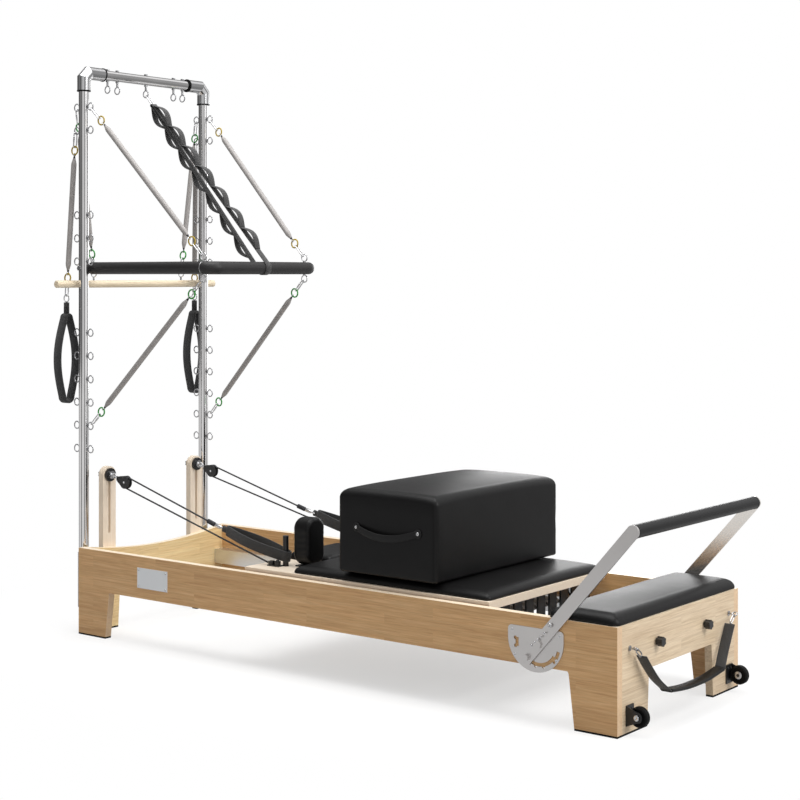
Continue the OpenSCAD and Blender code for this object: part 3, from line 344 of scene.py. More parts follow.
def wood(name, order, strip, dark, mid, light, top=None, ends=0.0, figure=1.0):
    """Glued strips. order gives the axes that run along, across and through the board, and
    strip a strip's length and width. Faces that look up take the colour top, a painted light for
    the light from above, and faces that look along X take the share ends of it, painted light
    too. figure is the strength of the grain."""
    m, tree, shader = material(name)
    axes = node(tree, "ShaderNodeSeparateXYZ", {0: node(tree, "ShaderNodeTexCoord").outputs["Object"]})
    turned = {i: axes.outputs["XYZ".index(axis)] for i, axis in enumerate(order)}
    board = node(tree, "ShaderNodeCombineXYZ", turned).outputs[0]
    brick = node(tree, "ShaderNodeTexBrick", {
        "Vector": board, "Color1": (0, 0, 0), "Color2": (1, 1, 1), "Mortar": (0.42, 0.42, 0.42),
        "Scale": 1.0, "Mortar Size": 0.00025, "Brick Width": strip[0], "Row Height": strip[1],
    }, offset=0.37, offset_frequency=2).outputs["Color"]
    # each strip shifts the grain, so that neighbours differ
    shifted = node(tree, "ShaderNodeVectorMath", {0: brick, 1: (3.1, 0.7, 0.9), 2: board},
                   operation="MULTIPLY_ADD").outputs[0]
    grain = noise(tree, stretched(tree, shifted, (2.1, 62, 62)), 2.2, 6, 0.62, 0.6)
    pores = noise(tree, stretched(tree, shifted, (9, 420, 420)), 1.4, 3, 0.6)
    base = ramp(tree, grain, [(0.28, dark), (0.5, mid), (0.74, light)])
    strip_tone = ramp(tree, brick, [(0.0, (0.92, 0.90, 0.88)), (0.5, (0.98, 0.98, 0.97)),
                                    (1.0, (1.05, 1.05, 1.05))])
    colour = mix(tree, base, strip_tone, 0.85 * figure, "MULTIPLY")
    pore_tone = ramp(tree, pores, [(0.38, (0.80, 0.77, 0.73)), (0.56, (1, 1, 1))])
    colour = mix(tree, colour, pore_tone, 0.75 * figure, "MULTIPLY")
    # painted light: faces that look up, and in part faces that look along X, are painted paler for the
    # light that falls on them
    if top:
        normal = node(tree, "ShaderNodeNewGeometry").outputs["Normal"]
        facing = node(tree, "ShaderNodeSeparateXYZ", {0: normal}).outputs
        looks_up = math_node(tree, "GREATER_THAN", facing[2], 0.6)
        looks_along = math_node(tree, "GREATER_THAN", math_node(tree, "ABSOLUTE", facing[0]), 0.6)
        share = math_node(tree, "MAXIMUM", looks_up, math_node(tree, "MULTIPLY", looks_along, ends))
        colour = mix(tree, colour, mix(tree, base, top, 0.88), share)
    dress(tree, shader, Base_Color=colour, Roughness=map_range(tree, grain, 0.34, 0.52),
          Coat_Weight=0.12, Coat_Roughness=0.3)
    bump(tree, shader, pores, 0.18, 0.0006)
    return m


def metal(name, colour, roughness, brushed=None, spread=0.05):
    m, tree, shader = material(name)
    marks = noise(tree, coords(tree, brushed or (1, 1, 1)), 60 if brushed else 8, 3)
    dress(tree, shader, Metallic=1.0, Base_Color=shades(tree, marks, colour, 1 - spread, 1 + spread),
          Roughness=map_range(tree, marks, roughness * 0.8, roughness * 1.25))
    if brushed:
        bump(tree, shader, marks, 0.12, 0.0003)
    return m


def plain(name, colour, roughness, scale, depth=0.0002, strength=0.25, vary=0.12, coat=0.0,
          shine=0.5):
    """Rubber, foam, plastic and paint, with a fine bumpy skin of the given scale and depth."""
    m, tree, shader = material(name)
    vector = coords(tree)
    fine = noise(tree, vector, scale, 2)
    dress(tree, shader, Base_Color=shades(tree, noise(tree, vector, 9, 3), colour, 1 - vary, 1 + vary),
          Roughness=map_range(tree, fine, roughness - 0.06, roughness + 0.06),
          Specular_IOR_Level=shine, Coat_Weight=coat)
    bump(tree, shader, fine, strength, depth)
    return m


def leather(name, colour, roughness, shine):
    m, tree, shader = material(name)
    vector = coords(tree)
    cells = node(tree, "ShaderNodeTexVoronoi", {"Scale": 520, "Vector": vector},
                 feature="DISTANCE_TO_EDGE").outputs["Distance"]
    soft = noise(tree, vector, 5, 4, 0.6)
    dress(tree, shader, Base_Color=shades(tree, soft, colour, 0.85, 1.25),
          Roughness=map_range(tree, soft, roughness - 0.05, roughness + 0.08), Specular_IOR_Level=shine)
    first = bump(tree, shader, cells, 0.16, 0.0006)
    bump(tree, shader, noise(tree, vector, 38, 5, 0.6, 0.8), 0.10, 0.0025, first)
    return m


def webbing(name, colour, scale, roughness):
    """Woven bands along and across the strap's own length."""
    m, tree, shader = material(name)
    vector = coords(tree, kind="UV")
    waves = []
    for turn, per_metre in ((0, 900), (math.pi / 2, 1300)):
        turned = node(tree, "ShaderNodeMapping", {"Rotation": (0, 0, turn), "Vector": vector}).outputs[0]
        inputs = {"Scale": per_metre * scale / 6.28, "Distortion": 0.4, "Vector": turned}
        waves.append(node(tree, "ShaderNodeTexWave", inputs, wave_type="BANDS", bands_direction="X",
                          wave_profile="SIN").outputs["Fac"])
    weave = math_node(tree, "MULTIPLY", *waves)
    dress(tree, shader, Base_Color=shades(tree, weave, colour, 0.6, 1.7, 0.0, 1.0), Roughness=roughness,
          Sheen_Weight=0.25)
    bump(tree, shader, weave, 0.5, 0.0008)
    return m


def sleeve(name, colour):
    m, tree, shader = material(name)
    vector = coords(tree)
    dress(tree, shader, Base_Color=shades(tree, noise(tree, vector, 14, 3), colour, 0.92, 1.08),
          Roughness=0.52, Sheen_Weight=0.2)
    bump(tree, shader, noise(tree, vector, 900, 2), 0.12, 0.0002)
    return m


def rope_material(name):
    m, tree, shader = material(name)
    strands = node(tree, "ShaderNodeTexWave", {"Scale": 95, "Distortion": 1.2, "Vector": coords(tree)},
                   wave_type="BANDS", bands_direction="DIAGONAL", wave_profile="SIN").outputs["Fac"]
    colour = ramp(tree, strands, [(0.2, (0.014, 0.014, 0.016)), (0.85, (0.055, 0.055, 0.062))])
    dress(tree, shader, Base_Color=colour, Roughness=0.7)
    bump(tree, shader, strands, 0.5, 0.0008)
    return m


# The end and head oak colours are the rail oak painted paler, as painted light for how the foot board and
# the head board's inner face are lit; the top colour is painted light on faces that look up.
OAK = ((0.575, 0.300, 0.118), (0.695, 0.415, 0.185), (0.785, 0.515, 0.262))
OAK_END_PAINTED_LIGHT = ((0.62, 0.455, 0.285), (0.77, 0.61, 0.425), (0.86, 0.72, 0.53))
OAK_HEAD_PAINTED_LIGHT = ((0.80, 0.55, 0.26), (0.93, 0.69, 0.36), (0.97, 0.78, 0.45))
OAK_TOP_PAINTED_LIGHT = (0.93, 0.80, 0.62)
PALE = ((0.89, 0.75, 0.59), (0.92, 0.79, 0.64), (0.94, 0.83, 0.69))
PALE_BAR = ((0.74, 0.60, 0.41), (0.84, 0.71, 0.52), (0.90, 0.79, 0.61))
oak_rail_painted_light = wood("oak_rail_painted_light", "XZY", (0.52, 0.037), *OAK, top=OAK_TOP_PAINTED_LIGHT, ends=0.4)
oak_end_painted_light = wood("oak_end_painted_light", "YZX", (0.36, 0.037), *OAK_END_PAINTED_LIGHT, top=OAK_TOP_PAINTED_LIGHT)
oak_head_painted_light = wood("oak_head_painted_light", "YZX", (0.36, 0.037), *OAK_HEAD_PAINTED_LIGHT, top=OAK_TOP_PAINTED_LIGHT)
pale_flat = wood("pale_flat", "XYZ", (2.0, 0.9), *PALE, figure=0.3)
pale_tall = wood("pale_tall", "ZYX", (0.9, 0.4), *PALE, figure=0.5)
pale_round = wood("pale_round", "YXZ", (3.0, 0.9), *PALE_BAR)

chrome = metal("chrome", (0.66, 0.66, 0.67), 0.12)
chrome_wire = metal("chrome_wire", (0.46, 0.46, 0.47), 0.14)
chrome_tube = metal("chrome_tube", (0.78, 0.77, 0.77), 0.10)
steel = metal("satin_steel", (0.66, 0.64, 0.63), 0.36, spread=0.015)
# a paler, glossier copy of the satin steel, painted light for the far arm's brightly lit faces
steel_painted_bright = metal("steel_painted_bright_copy", (0.92, 0.88, 0.83), 0.19, spread=0.015)
aluminium = metal("track_aluminium", (0.72, 0.73, 0.74), 0.32, (1, 30, 30), 0.06)
truck_steel = metal("truck_steel", (0.55, 0.56, 0.57), 0.4, (4, 4, 30), 0.08)

rubber = plain("rubber", (0.006, 0.006, 0.0062), 0.6, 500, shine=0.12)
foam = plain("foam", (0.019, 0.0183, 0.0187), 0.50, 900, shine=0.4)
grip_foam = plain("grip_foam", (0.008, 0.008, 0.0085), 0.42, 900, strength=0.2, shine=0.24)
plastic = plain("black_plastic", (0.008, 0.008, 0.009), 0.32, 700, 0.0001, 0.15, coat=0.1)
painted = plain("black_paint", (0.009, 0.009, 0.010), 0.36, 800, 0.0001, 0.12, coat=0.1)
yellow = plain("yellow_ring", (0.42, 0.29, 0.008), 0.35, 600, 0.0001, 0.1)
green = plain("green_ring", (0.008, 0.31, 0.02), 0.35, 600, 0.0001, 0.1)
plate_white = plain("bare_plate", (0.80, 0.82, 0.84), 0.36, 300, 0.0001, 0.08, 0.02)

leather_black = leather("black_leather", (0.0042, 0.0040, 0.0042), 0.42, 0.22)
strap_leather = leather("strap_leather", (0.013, 0.0128, 0.013), 0.5, 0.24)
web = webbing("webbing", (0.029, 0.0283, 0.0285), 1.0, 0.72)
web_soft = webbing("padded_webbing", (0.022, 0.022, 0.023), 1.4, 0.8)
grey_sleeve = sleeve("grey_sleeve", (0.355, 0.334, 0.322))
rope_black = rope_material("braided_rope")


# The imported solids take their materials

def paint(mat, *names):
    for name in names:
        nodes[name].data.materials.clear()
        nodes[name].data.materials.append(mat)


def paint_faces(name, mats, pick):
    """Each face gets the material that pick chooses from its middle, in millimetres."""
    o = nodes[name]
    o.data.materials.clear()
    for m in mats:
        o.data.materials.append(m)
    for face in o.data.polygons:
        c = o.matrix_world @ face.center
        face.material_index = int(pick(c.x * 1000 - MID_X, c.y * 1000, c.z * 1000))


paint(oak_rail_painted_light, "side_rail_near", "side_rail_far")
paint(oak_head_painted_light, "head_board")
paint(oak_end_painted_light, "foot_board")
paint(pale_flat, "standing_board", "carriage_deck")
paint(pale_tall, "riser_near", "riser_far")
paint(chrome_tube, "post_near", "post_far", "crossbar", "post_brackets")
paint(chrome, "elbows")
paint(chrome_wire, "eye_bolts", "carry_links")
paint(steel, "quadrant_near", "quadrant_far")
paint(aluminium, "track_rails")
paint(truck_steel, "carriage_trucks")
paint(rubber, "leg_pads", "transport_wheel_near", "transport_wheel_far", "carriage_wheels_head",
      "carriage_wheels_foot")
paint(plastic, "shoulder_posts", "rope_cleats", "sheave_near", "sheave_far", "knob_near", "knob_far")
paint(painted, "gear_bar", "wheel_brackets")
paint(grip_foam, "footbar_grip")
paint(plate_white, "name_plate")

bpy.context.view_layer.update()
ARM_SIDE = BAR_Y + 27
FOAM_SKIN = BAR_R + 0.5
ROLL_SKIN = ROLL_Z + 15.2
CLAMP_FACE = -FRAME_END + 9 + 0.5
SHEAVE = (-1060.0, 232.0, 555.0)
CHEEK_END = 43.6
CHEEK_SIDE = 9.3


def bar_metal(x, y, z):
    """The push bar's pins and eyes, outside its foam."""
    return abs(y) > ARM_SIDE or abs(z - BAR_H) > FOAM_SKIN


def block_metal(x, y, z):
    """The pulley block's shackle and the ends of its axle."""
    shackle = math.hypot(x - SHEAVE[0], z - SHEAVE[2]) > CHEEK_END
    return shackle or abs(abs(y) - SHEAVE[1]) > CHEEK_SIDE


paint_faces("push_bar", (foam, chrome), bar_metal)
paint_faces("roll_bar", (pale_round, chrome), lambda x, y, z: z > ROLL_SKIN)
# the far arm's faces take the paler steel copy, which is painted light
paint_faces("footbar_arms", (steel, steel_painted_bright), lambda x, y, z: y > 0)
paint_faces("riser_clamps", (plastic, chrome), lambda x, y, z: x > CLAMP_FACE)
paint_faces("pulley_blocks", (painted, chrome), block_metal)


def put(o, body, slot, *replaced):
    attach(o, body)
    if replaced:
        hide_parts(*replaced)
    return o


def put_parts(name, parts, mat, body, slot):
    put(join_parts(name, parts, mat), body, slot)


# Upholstered pads, in metres

PULL = 0.001
PUCKER = 0.0005
ARC_STEPS = 10
SIDE_STEPS = 28
ROLL_STEPS = 14
DOME_STEPS = 14
FOOT_H = 0.004


def rounded_outline(half_x, half_y, corner):
    """Outline with round corners, whose sides pull in between them."""
    centres = [(half_x - corner, half_y - corner), (corner - half_x, half_y - corner),
               (corner - half_x, corner - half_y), (half_x - corner, corner - half_y)]
    points = []
    for q, (x, y) in enumerate(centres):
        for i in range(ARC_STEPS + 1):
            a = math.pi / 2 * (q + i / ARC_STEPS)
            points.append((x + corner * math.cos(a), y + corner * math.sin(a)))
        out_x = math.cos(math.pi / 2 * (q + 1))
        out_y = math.sin(math.pi / 2 * (q + 1))
        next_x, next_y = centres[(q + 1) % 4]
        for i in range(1, SIDE_STEPS):
            t = i / SIDE_STEPS
            out = corner - PULL * math.sin(math.pi * t)
            points.append((x + (next_x - x) * t + out * out_x, y + (next_y - y) * t + out * out_y))
    return points


def pad_levels(height, rim, rise, under):
    """Inset and height of each ring up the pad's side and over its top edge."""
    if under:
        steps = [math.pi / 2 * i / 7 for i in range(8)]
        levels = [(under * (1 - math.sin(a)), under * (1 - math.cos(a))) for a in steps]
    else:
        levels = [(0.003, 0.0), (0.0008, 0.0012), (0.0, FOOT_H)]
    foot = under or FOOT_H
    straight = height - rise - foot
    if straight > 0.002:
        for i in range(1, 6):
            levels.append((PULL * 0.6 * math.sin(math.pi * i / 6), foot + straight * i / 6))
    for i in range(1, ROLL_STEPS + 1):
        a = math.pi / 2 * i / ROLL_STEPS
        levels.append((rim * (1 - math.cos(a)), height - rise * (1 - math.sin(a))))
    return levels


def cushion(name, half_x, half_y, height, corner, rim, crown, matrix, rise=None, droop=0.0,
            under=0.0):
    """Crowned pad, built up in rings. Its top edge rolls off over rim, down by rise, its corners
    are lower by droop, and its lower edge is rounded by under."""
    verts = [Vector((0, 0, 0))]
    for inset, z in pad_levels(height, rim, rise or rim, under):
        outline = rounded_outline(half_x - inset, half_y - inset, max(corner - inset, corner * 0.4))
        for i, (x, y) in enumerate(outline):
            pucker = PUCKER * math.sin(i * 0.9 + z * 60) if z < height - rim else 0
            verts.append(Vector((x * (1 + pucker / half_x), y * (1 + pucker / half_y), z)))
    inner = rounded_outline(half_x - rim, half_y - rim, max(corner - rim, corner * 0.4))
    for s in range(1, DOME_STEPS):
        k = 1 - s / DOME_STEPS
        for x, y in inner:
            u = max(-1, min(1, k * x / (half_x - rim)))
            v = max(-1, min(1, k * y / (half_y - rim)))
            verts.append(Vector((x * k, y * k, height + crown * (1 - u * u) * (1 - v * v))))
    around = len(inner)
    rows = (len(verts) - 1) // around
    last = 1 + (rows - 1) * around
    top = len(verts)
    verts.append(Vector((0, 0, height + crown)))
    faces = [(0, 1 + (i + 1) % around, 1 + i) for i in range(around)]
    for face in skin(rows, around)[:-2]:
        faces.append(tuple(i + 1 for i in face))
    faces += [(last + i, last + (i + 1) % around, top) for i in range(around)]
    for v in verts:
        corner_share = (min(1, abs(v.x) / half_x) * min(1, abs(v.y) / half_y)) ** 4
        v.z -= droop * corner_share * v.z / height
    return mesh_object(name, [matrix @ v for v in verts], faces, leather_black)


def add_pad(name, body, replaced, fill, **shape):
    o = cushion(name, **shape)
    put(o, body, "leather_black", replaced)


def moved(x, y, z):
    return Matrix.Translation(place(x, y, z))


STAND_L = 238
STAND_END = 1148
PAD_SEAT = DECK_TOP + SEAT_GAP
PAD_X = 267.5
HEADREST_X = -236
REST_FACE = -147
REST_Y = 195
REST_HALF = 82
REST_FOOT = DECK_TOP + 4.3
BOX_X = 280
BOX_Z = PAD_SEAT + 28 + 4 + SEAT_GAP
BOX_H = 276
add_pad("standing_cushion", "frame", "standing_pad", 0.9, half_x=STAND_L / 2000, half_y=0.383,
        height=0.034, corner=0.022, rim=0.040, rise=0.030, crown=0.006, droop=0.007,
        matrix=moved(STAND_END - STAND_L / 2, 0, FRAME_TOP + SEAT_GAP))
add_pad("carriage_cushion", "carriage", "carriage_pad", 0.9, half_x=0.4025, half_y=0.337,
        height=0.028, corner=0.018, rim=0.040, rise=0.024, crown=0.004, droop=0.006,
        matrix=moved(PAD_X, 0, PAD_SEAT))
add_pad("headrest_cushion", "headrest", "headrest_pad", 0.85, half_x=0.098, half_y=0.135,
        height=0.028, corner=0.020, rim=0.032, rise=0.024, crown=0.004,
        matrix=moved(HEADREST_X, 0, PAD_SEAT))
for s in SIDES:
    middle = moved(REST_FACE, s * REST_Y, REST_FOOT + REST_HALF)
    add_pad("shoulder_cushion_" + NAMES[s], "carriage", "shoulder_rest_" + NAMES[s], 0.8,
            half_x=REST_HALF / 1000, half_y=0.046, height=0.078, corner=0.040, rim=0.026, crown=0.006,
            under=0.015, matrix=middle @ Matrix.Rotation(-math.pi / 2, 4, "Y"))
add_pad("box_cover", "box", "sitting_box", 0.9, half_x=0.202, half_y=0.354, height=BOX_H / 1000,
        corner=0.017, rim=0.034, rise=0.028, crown=0.014, droop=0.010, under=0.010,
        matrix=moved(BOX_X, 0, BOX_Z))


# The box's handles: padded leather straps with a screw at each end

HANDLE_X = 284
HANDLE_SPAN = 250
HANDLE_Z = BOX_Z + BOX_H * 0.55
HANDLE_OUT = 16
HANDLE_SAG = 24
BOX_SIDE = 354
TAB_Y = 353.2
TAB = [(0.0142, 0), (0.0146, 0.0026), (0.0136, 0.0036), (0.001, 0.0038)]
TAB_SCREW = [(0.0062, 0.0036), (0.0060, 0.0050), (0.0040, 0.0062), (0.0022, 0.0062),
             (0.0018, 0.0048), (0.0005, 0.0048)]
for s in SIDES:
    path = []
    for i in range(29):
        t = i / 28
        sag = math.sin(math.pi * t)
        path.append(place(HANDLE_X + HANDLE_SPAN * (t - 0.5),
                          s * (BOX_SIDE + 1.8 + HANDLE_OUT * sag ** 0.8),
                          HANDLE_Z - HANDLE_SAG * sag ** 0.9))
    strap = band(path, UP, width=0.023, thickness=0.0036, bulge=0.5, rounding=5)
    put(join_parts("box_handle_" + NAMES[s], [strap], strap_leather), "box", "leather_black",
        "box_handles")
    tabs, screws = [], []
    for e in (-1, 1):
        end_x = HANDLE_X + e * HANDLE_SPAN / 2
        m = along(place(end_x, s * TAB_Y, HANDLE_Z), place(end_x, s * (TAB_Y + 10), HANDLE_Z))
        tabs.append(lathe(TAB, m))
        screws.append(lathe(TAB_SCREW, m, 20))
    put_parts("handle_tabs_" + NAMES[s], tabs, strap_leather, "box", "leather_black")
    put_parts("handle_screws_" + NAMES[s], screws, chrome, "box", "chrome")


# Tower springs in their sleeves, with hooks and coloured rings

HOOK_GAP = 2 * WIRE + 0.5
SNAP_L = 58
SNAP_R = 7
RING_R = 16
RING_WIRE = 2.8
NECK_R = 5
NECK_L = 8
CONE_L = 26
TIP_R = 4.5
TIP_STEP = 1.5
SLEEVE_R = 10.5
SLEEVE_ROWS = 90
SPRING_END = EYE_R - HOOK_GAP + SNAP_L - HOOK_GAP + 2 * RING_R + NECK_R
SPRING_TIP = [(0.0020, -0.002), (0.0030, 0.001), (0.0042, 0.006), (0.0049, 0.0115), (0.0046, 0.013)]


def sleeve_folds(a, z):
    """Shallow lengthwise folds that drift along the sleeve, and one deeper groove."""
    fold = 0.010 * math.cos(3 * a + 0.5 * math.sin(z * 4)) + 0.005 * math.cos(5 * a - 2 * z)
    off = math.sin((a - 0.9 - 0.16 * math.sin(z * 5)) / 2) / 0.11
    return 0.985 + fold - 0.12 * math.exp(-off ** 2)


def sleeve_profile(z0, z1):
    """Radius and height in metres along a sleeve that narrows at both ends."""
    tip = TIP_R * 1.15
    cone = []
    for i in range(1, 9):
        t = i / 8
        r = tip + (SLEEVE_R - tip) * math.sin(t * math.pi / 2) ** 1.3
        cone.append((r, TIP_STEP + (CONE_L - TIP_STEP) * t))
    profile = [(TIP_R * 0.9, z0), (tip, z0 + TIP_STEP)] + [(r, z0 + z) for r, z in cone]
    for i in range(1, SLEEVE_ROWS):
        r = SLEEVE_R * (1 - 0.005 * math.sin(i * 2.3) ** 2)
        profile.append((r, z0 + CONE_L + (z1 - z0 - 2 * CONE_L) * (i / SLEEVE_ROWS)))
    profile += [(r, z1 - z) for r, z in reversed(cone)]
    profile += [(tip, z1 - TIP_STEP), (TIP_R * 0.9, z1)]
    return [(r / 1000, z / 1000) for r, z in profile]


def snap_hook(matrix, z0, length, r):
    """Long link in the local YZ plane, with a gate sleeve on one side."""
    path = []
    for first, middle in ((0, length - r), (math.pi, r)):
        for i in range(11):
            a = first + math.pi * i / 10
            point = Vector((0, r * math.cos(a), z0 + middle + r * math.sin(a)))
            path.append(matrix @ (point / 1000))
    gate = [matrix @ Vector((0, r / 1000, (z0 + length * f) / 1000)) for f in (0.28, 0.34, 0.62, 0.68)]
    gate_r = [WIRE * f / 1000 for f in (1.1, 1.35, 1.35, 1.1)]
    return [tube(path, WIRE / 1000, 10, closed=True), tube(gate, gate_r, 12)]


def spring_set(name, low, high, colour, replaced, body=None, ends=None):
    """Sleeved spring from eye to eye, from low to high. It rides on body, or stays fixed where it
    is drawn when ends is given; the points in ends are not used."""
    length = (high - low).length * 1000
    m = along(low, high)
    turned = m @ Matrix.Translation((0, 0, length / 1000)) @ Matrix.Rotation(math.pi, 4, "X")
    hooks, rings, tips = [], [], []
    for end in (m, turned):
        turn = end.to_3x3()
        hooks += snap_hook(end, EYE_R - HOOK_GAP, SNAP_L, SNAP_R)
        ring_at = end @ Vector((0, 0, (SPRING_END - NECK_R - RING_R) / 1000))
        rings.append(ring(ring_at, turn @ AXIS_Y, RING_R / 1000, RING_WIRE / 1000))
        neck_at = end @ Vector((0, 0, (SPRING_END - NECK_R) / 1000))
        hooks.append(ring(neck_at, turn @ AXIS_X, NECK_R / 1000, WIRE * 0.8 / 1000, 20, 8))
        tips.append(lathe([(r, SPRING_END / 1000 + z) for r, z in SPRING_TIP], end, 20))
    profile = sleeve_profile(SPRING_END + NECK_L, length - SPRING_END - NECK_L)
    pieces = (("_sleeve", [lathe(profile, m, 40, sleeve_folds)], grey_sleeve, "spring_grey"),
              ("_tips", tips, plastic, "plastic_black"),
              ("_rings", rings, colour, "plastic_black"),
              ("_hooks", hooks, chrome, "chrome"))
    for part, shapes, mat, slot in pieces:
        o = join_parts(name + part, shapes, mat)
        if ends:
            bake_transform(o)
        else:
            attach(o, body)
        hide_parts(replaced)


BAR_EYE_X = POST_X + BAR_REACH - 41
BAR_EYE_OUT = 40
ROLL_EYE_Y = 233
ROLL_EYE_Z = 1339.5
HOOK_LIFT = 1.4
HOOK_OUT = 5
HOOK_SIDE = 1.5
HOOK_UP = 2.7
for s in SIDES:
    side = NAMES[s]
    post_eye = place(POST_X + EYE_OUT, s * POST_Y, TOP_EYE)
    bar_eye = place(BAR_EYE_X, s * BAR_Y, BAR_H + BAR_EYE_OUT)
    spring_set("upper_spring_" + side, bar_eye, post_eye, yellow, "upper_springs",
               ends=(post_eye, bar_eye))
    post_eye = place(POST_X + EYE_OUT, s * POST_Y, LOW_EYE)
    bar_eye = place(BAR_EYE_X, s * BAR_Y, BAR_H - BAR_EYE_OUT)
    spring_set("lower_spring_" + side, post_eye, bar_eye, green, "lower_springs",
               ends=(post_eye, bar_eye))
    spring_set("roll_spring_" + side, place(ROLL_X, s * ROLL_EYE_Y, ROLL_EYE_Z - HOOK_LIFT),
               place(HANG_X, s * POST_Y, TOP_EYE + HOOK_LIFT), green, "roll_springs", body="roll_bar")
    spring_set("strap_spring_" + side + "_set", place(STRAP_X, s * STRAP_Y, STRAP_RING_Z),
               place(HANG_X - HOOK_OUT, s * (POST_Y + HOOK_SIDE), SECOND_EYE + HOOK_UP), yellow,
               "strap_spring_" + side, body="strap_" + side)


# Carriage springs under the deck, from the gear bar to the hanger

GEAR_X = 645 - 7.5
HANGER_X = 125.0
SPRING_Z = 252
TAB_PITCH = 69
COVER_R = 0.011
END_R = 0.0044
span = (GEAR_X - HANGER_X) / 1000
cone = [(END_R + (COVER_R - END_R) * math.sin(i * math.pi / 12), 0.014 + 0.0026 * i) for i in range(1, 7)]
cover = [(END_R, 0.012)] + cone
cover += [(COVER_R, 0.03 + (span - 0.06) * i / 20) for i in range(21)]
cover += [(r, span - z) for r, z in reversed(cone)] + [(END_R, span - 0.012)]
TIP_ROUND = [(END_R, 0.0), (0.0050, 0.003), (0.0050, 0.014)]
covers, tips = [], []
for k in (-2, -1, 0, 1, 2):
    y = k * TAB_PITCH
    m = along(place(HANGER_X, y, SPRING_Z), place(GEAR_X, y, SPRING_Z))
    covers.append(lathe(cover, m, 24))
    tips.append(lathe(TIP_ROUND, m, 20))
    tips.append(lathe([(r, span - z) for r, z in reversed(TIP_ROUND)], m, 20))
for name, parts, mat, slot in (("gear_spring_sleeves", covers, grey_sleeve, "spring_grey"),
                               ("gear_spring_ends", tips, plastic, "plastic_black")):
    o = join_parts(name, parts, mat)
    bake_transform(o)
    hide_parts("carriage_springs")


# Ropes, each from its cleat round the pulley to the clip of its hand strap

ROPE_R = 3
WRAP = 18 + ROPE_R + SEAT_GAP
CLIP = (-581.0, 246.0, 440.0)
CLEAT = (-299.0, 272.0, 338.0)
RUN_STEPS = 16
WRAP_STEPS = 24
KNOT_TURNS = 6


def rope_angle(point, upper):
    """Where the straight run from the point touches the rope's circle on the pulley."""
    dx, dz = point[0] - SHEAVE[0], point[2] - SHEAVE[2]
    return math.atan2(dz, dx) + upper * math.acos(WRAP / math.hypot(dx, dz))


def on_pulley(a):
    return (SHEAVE[0] + WRAP * math.cos(a), SHEAVE[1], SHEAVE[2] + WRAP * math.sin(a))


def between(p, q, t):
    return [a + (b - a) * t for a, b in zip(p, q)]


up = rope_angle(CLIP, 1)
down = rope_angle(CLEAT, -1)
wrapped = 2 * math.pi + down - up
run = [between(CLEAT, on_pulley(down), i / RUN_STEPS) for i in range(RUN_STEPS)]
run += [on_pulley(down - wrapped * i / WRAP_STEPS) for i in range(WRAP_STEPS + 1)]
run += [between(on_pulley(up), CLIP, i / RUN_STEPS) for i in range(1, RUN_STEPS + 1)]
for s in SIDES:
    path = [place(x, s * y, z) for x, y, z in run]
    o = join_parts("rope_line_" + NAMES[s], [tube(path, ROPE_R / 1000, 12)], rope_black)
    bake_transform(o)
    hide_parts("rope_" + NAMES[s])
    # the rope's end is wound round it beside the clip
    back = (path[-2] - path[-1]).normalized()
    turns = []
    for k in range(KNOT_TURNS):
        turns.append(ring(path[-1] + back * (0.006 + 0.0062 * k), back, 0.0052, 0.0034, 24, 8))
    put_parts("rope_knot_" + NAMES[s], turns, rope_black, "carriage", "rope_black")


# Hand straps, each a padded loop from its clip to its peg

PEG_X = -243.0
PEG_Y = 248.0
PEG_R = 10
STRAP_END_Z = 366.0
CLIP_L = 62
TILT = math.atan2(CLIP[2] - STRAP_END_Z, PEG_X - CLIP[0])
NEAR_X = CLIP[0] + CLIP_L
HAND_L = (PEG_X - NEAR_X) / math.cos(TILT) + PEG_R + 7
HAND_CLIP = [(0.0035, -0.002), (0.0060, 0.0), (0.0070, 0.004), (0.0070, 0.024), (0.0058, 0.028),
             (0.0040, 0.030), (0.0036, 0.036)]


def loop_points(length, r1, r2, bulge, steps=14):
    """Outline of a strap's loop with round ends of two radii, whose sides bulge."""
    side, first, second = [], [], []
    for i in range(1, steps):
        t = i / steps
        side.append((r1 + (length - r1 - r2) * t, r1 + (r2 - r1) * t + bulge * math.sin(math.pi * t)))
    for i in range(steps + 1):
        a = math.pi / 2 + math.pi * i / steps
        first.append((r1 + r1 * math.cos(a), r1 * math.sin(a)))
        second.append((length - r2 - r2 * math.cos(a), -r2 * math.sin(a)))
    return first + [(x, -y) for x, y in side] + second + side[::-1]


lengthwise = Vector((math.cos(TILT), 0, -math.sin(TILT)))
upright = Vector((math.sin(TILT), 0, math.cos(TILT)))
for s in SIDES:
    start = Vector((NEAR_X, s * PEG_Y, CLIP[2] - CLIP_L * math.tan(TILT)))
    loop = loop_points(HAND_L, r1=6, r2=14, bulge=20)
    path = [place(*(start + lengthwise * a + AXIS_Y * b)) for a, b in loop]
    strap = band(path, upright, width=0.037, thickness=0.005, closed=True, bulge=0.25, rounding=5)
    put(join_parts("hand_loop_" + NAMES[s], [strap], web_soft), "carriage", "webbing_black",
        "hand_strap_" + NAMES[s])
    # neck of sewn webbing, and the clip
    path = [place(*(start + lengthwise * (-22 + 26 * i / 6))) for i in range(7)]
    neck = band(path, upright, width=0.024, thickness=0.012, rounding=4)
    put_parts("hand_neck_" + NAMES[s], [neck], web, "carriage", "webbing_black")
    clip = Vector((CLIP[0], s * CLIP[1], CLIP[2]))
    m = along(place(*clip), place(*(clip + lengthwise * 50)))
    put_parts("hand_clip_" + NAMES[s], [lathe(HAND_CLIP, m, 20)] + snap_hook(m, 30, 20, 4), chrome,
              "carriage", "chrome")


# Foot straps, each a padded loop with a sewn neck on a ring

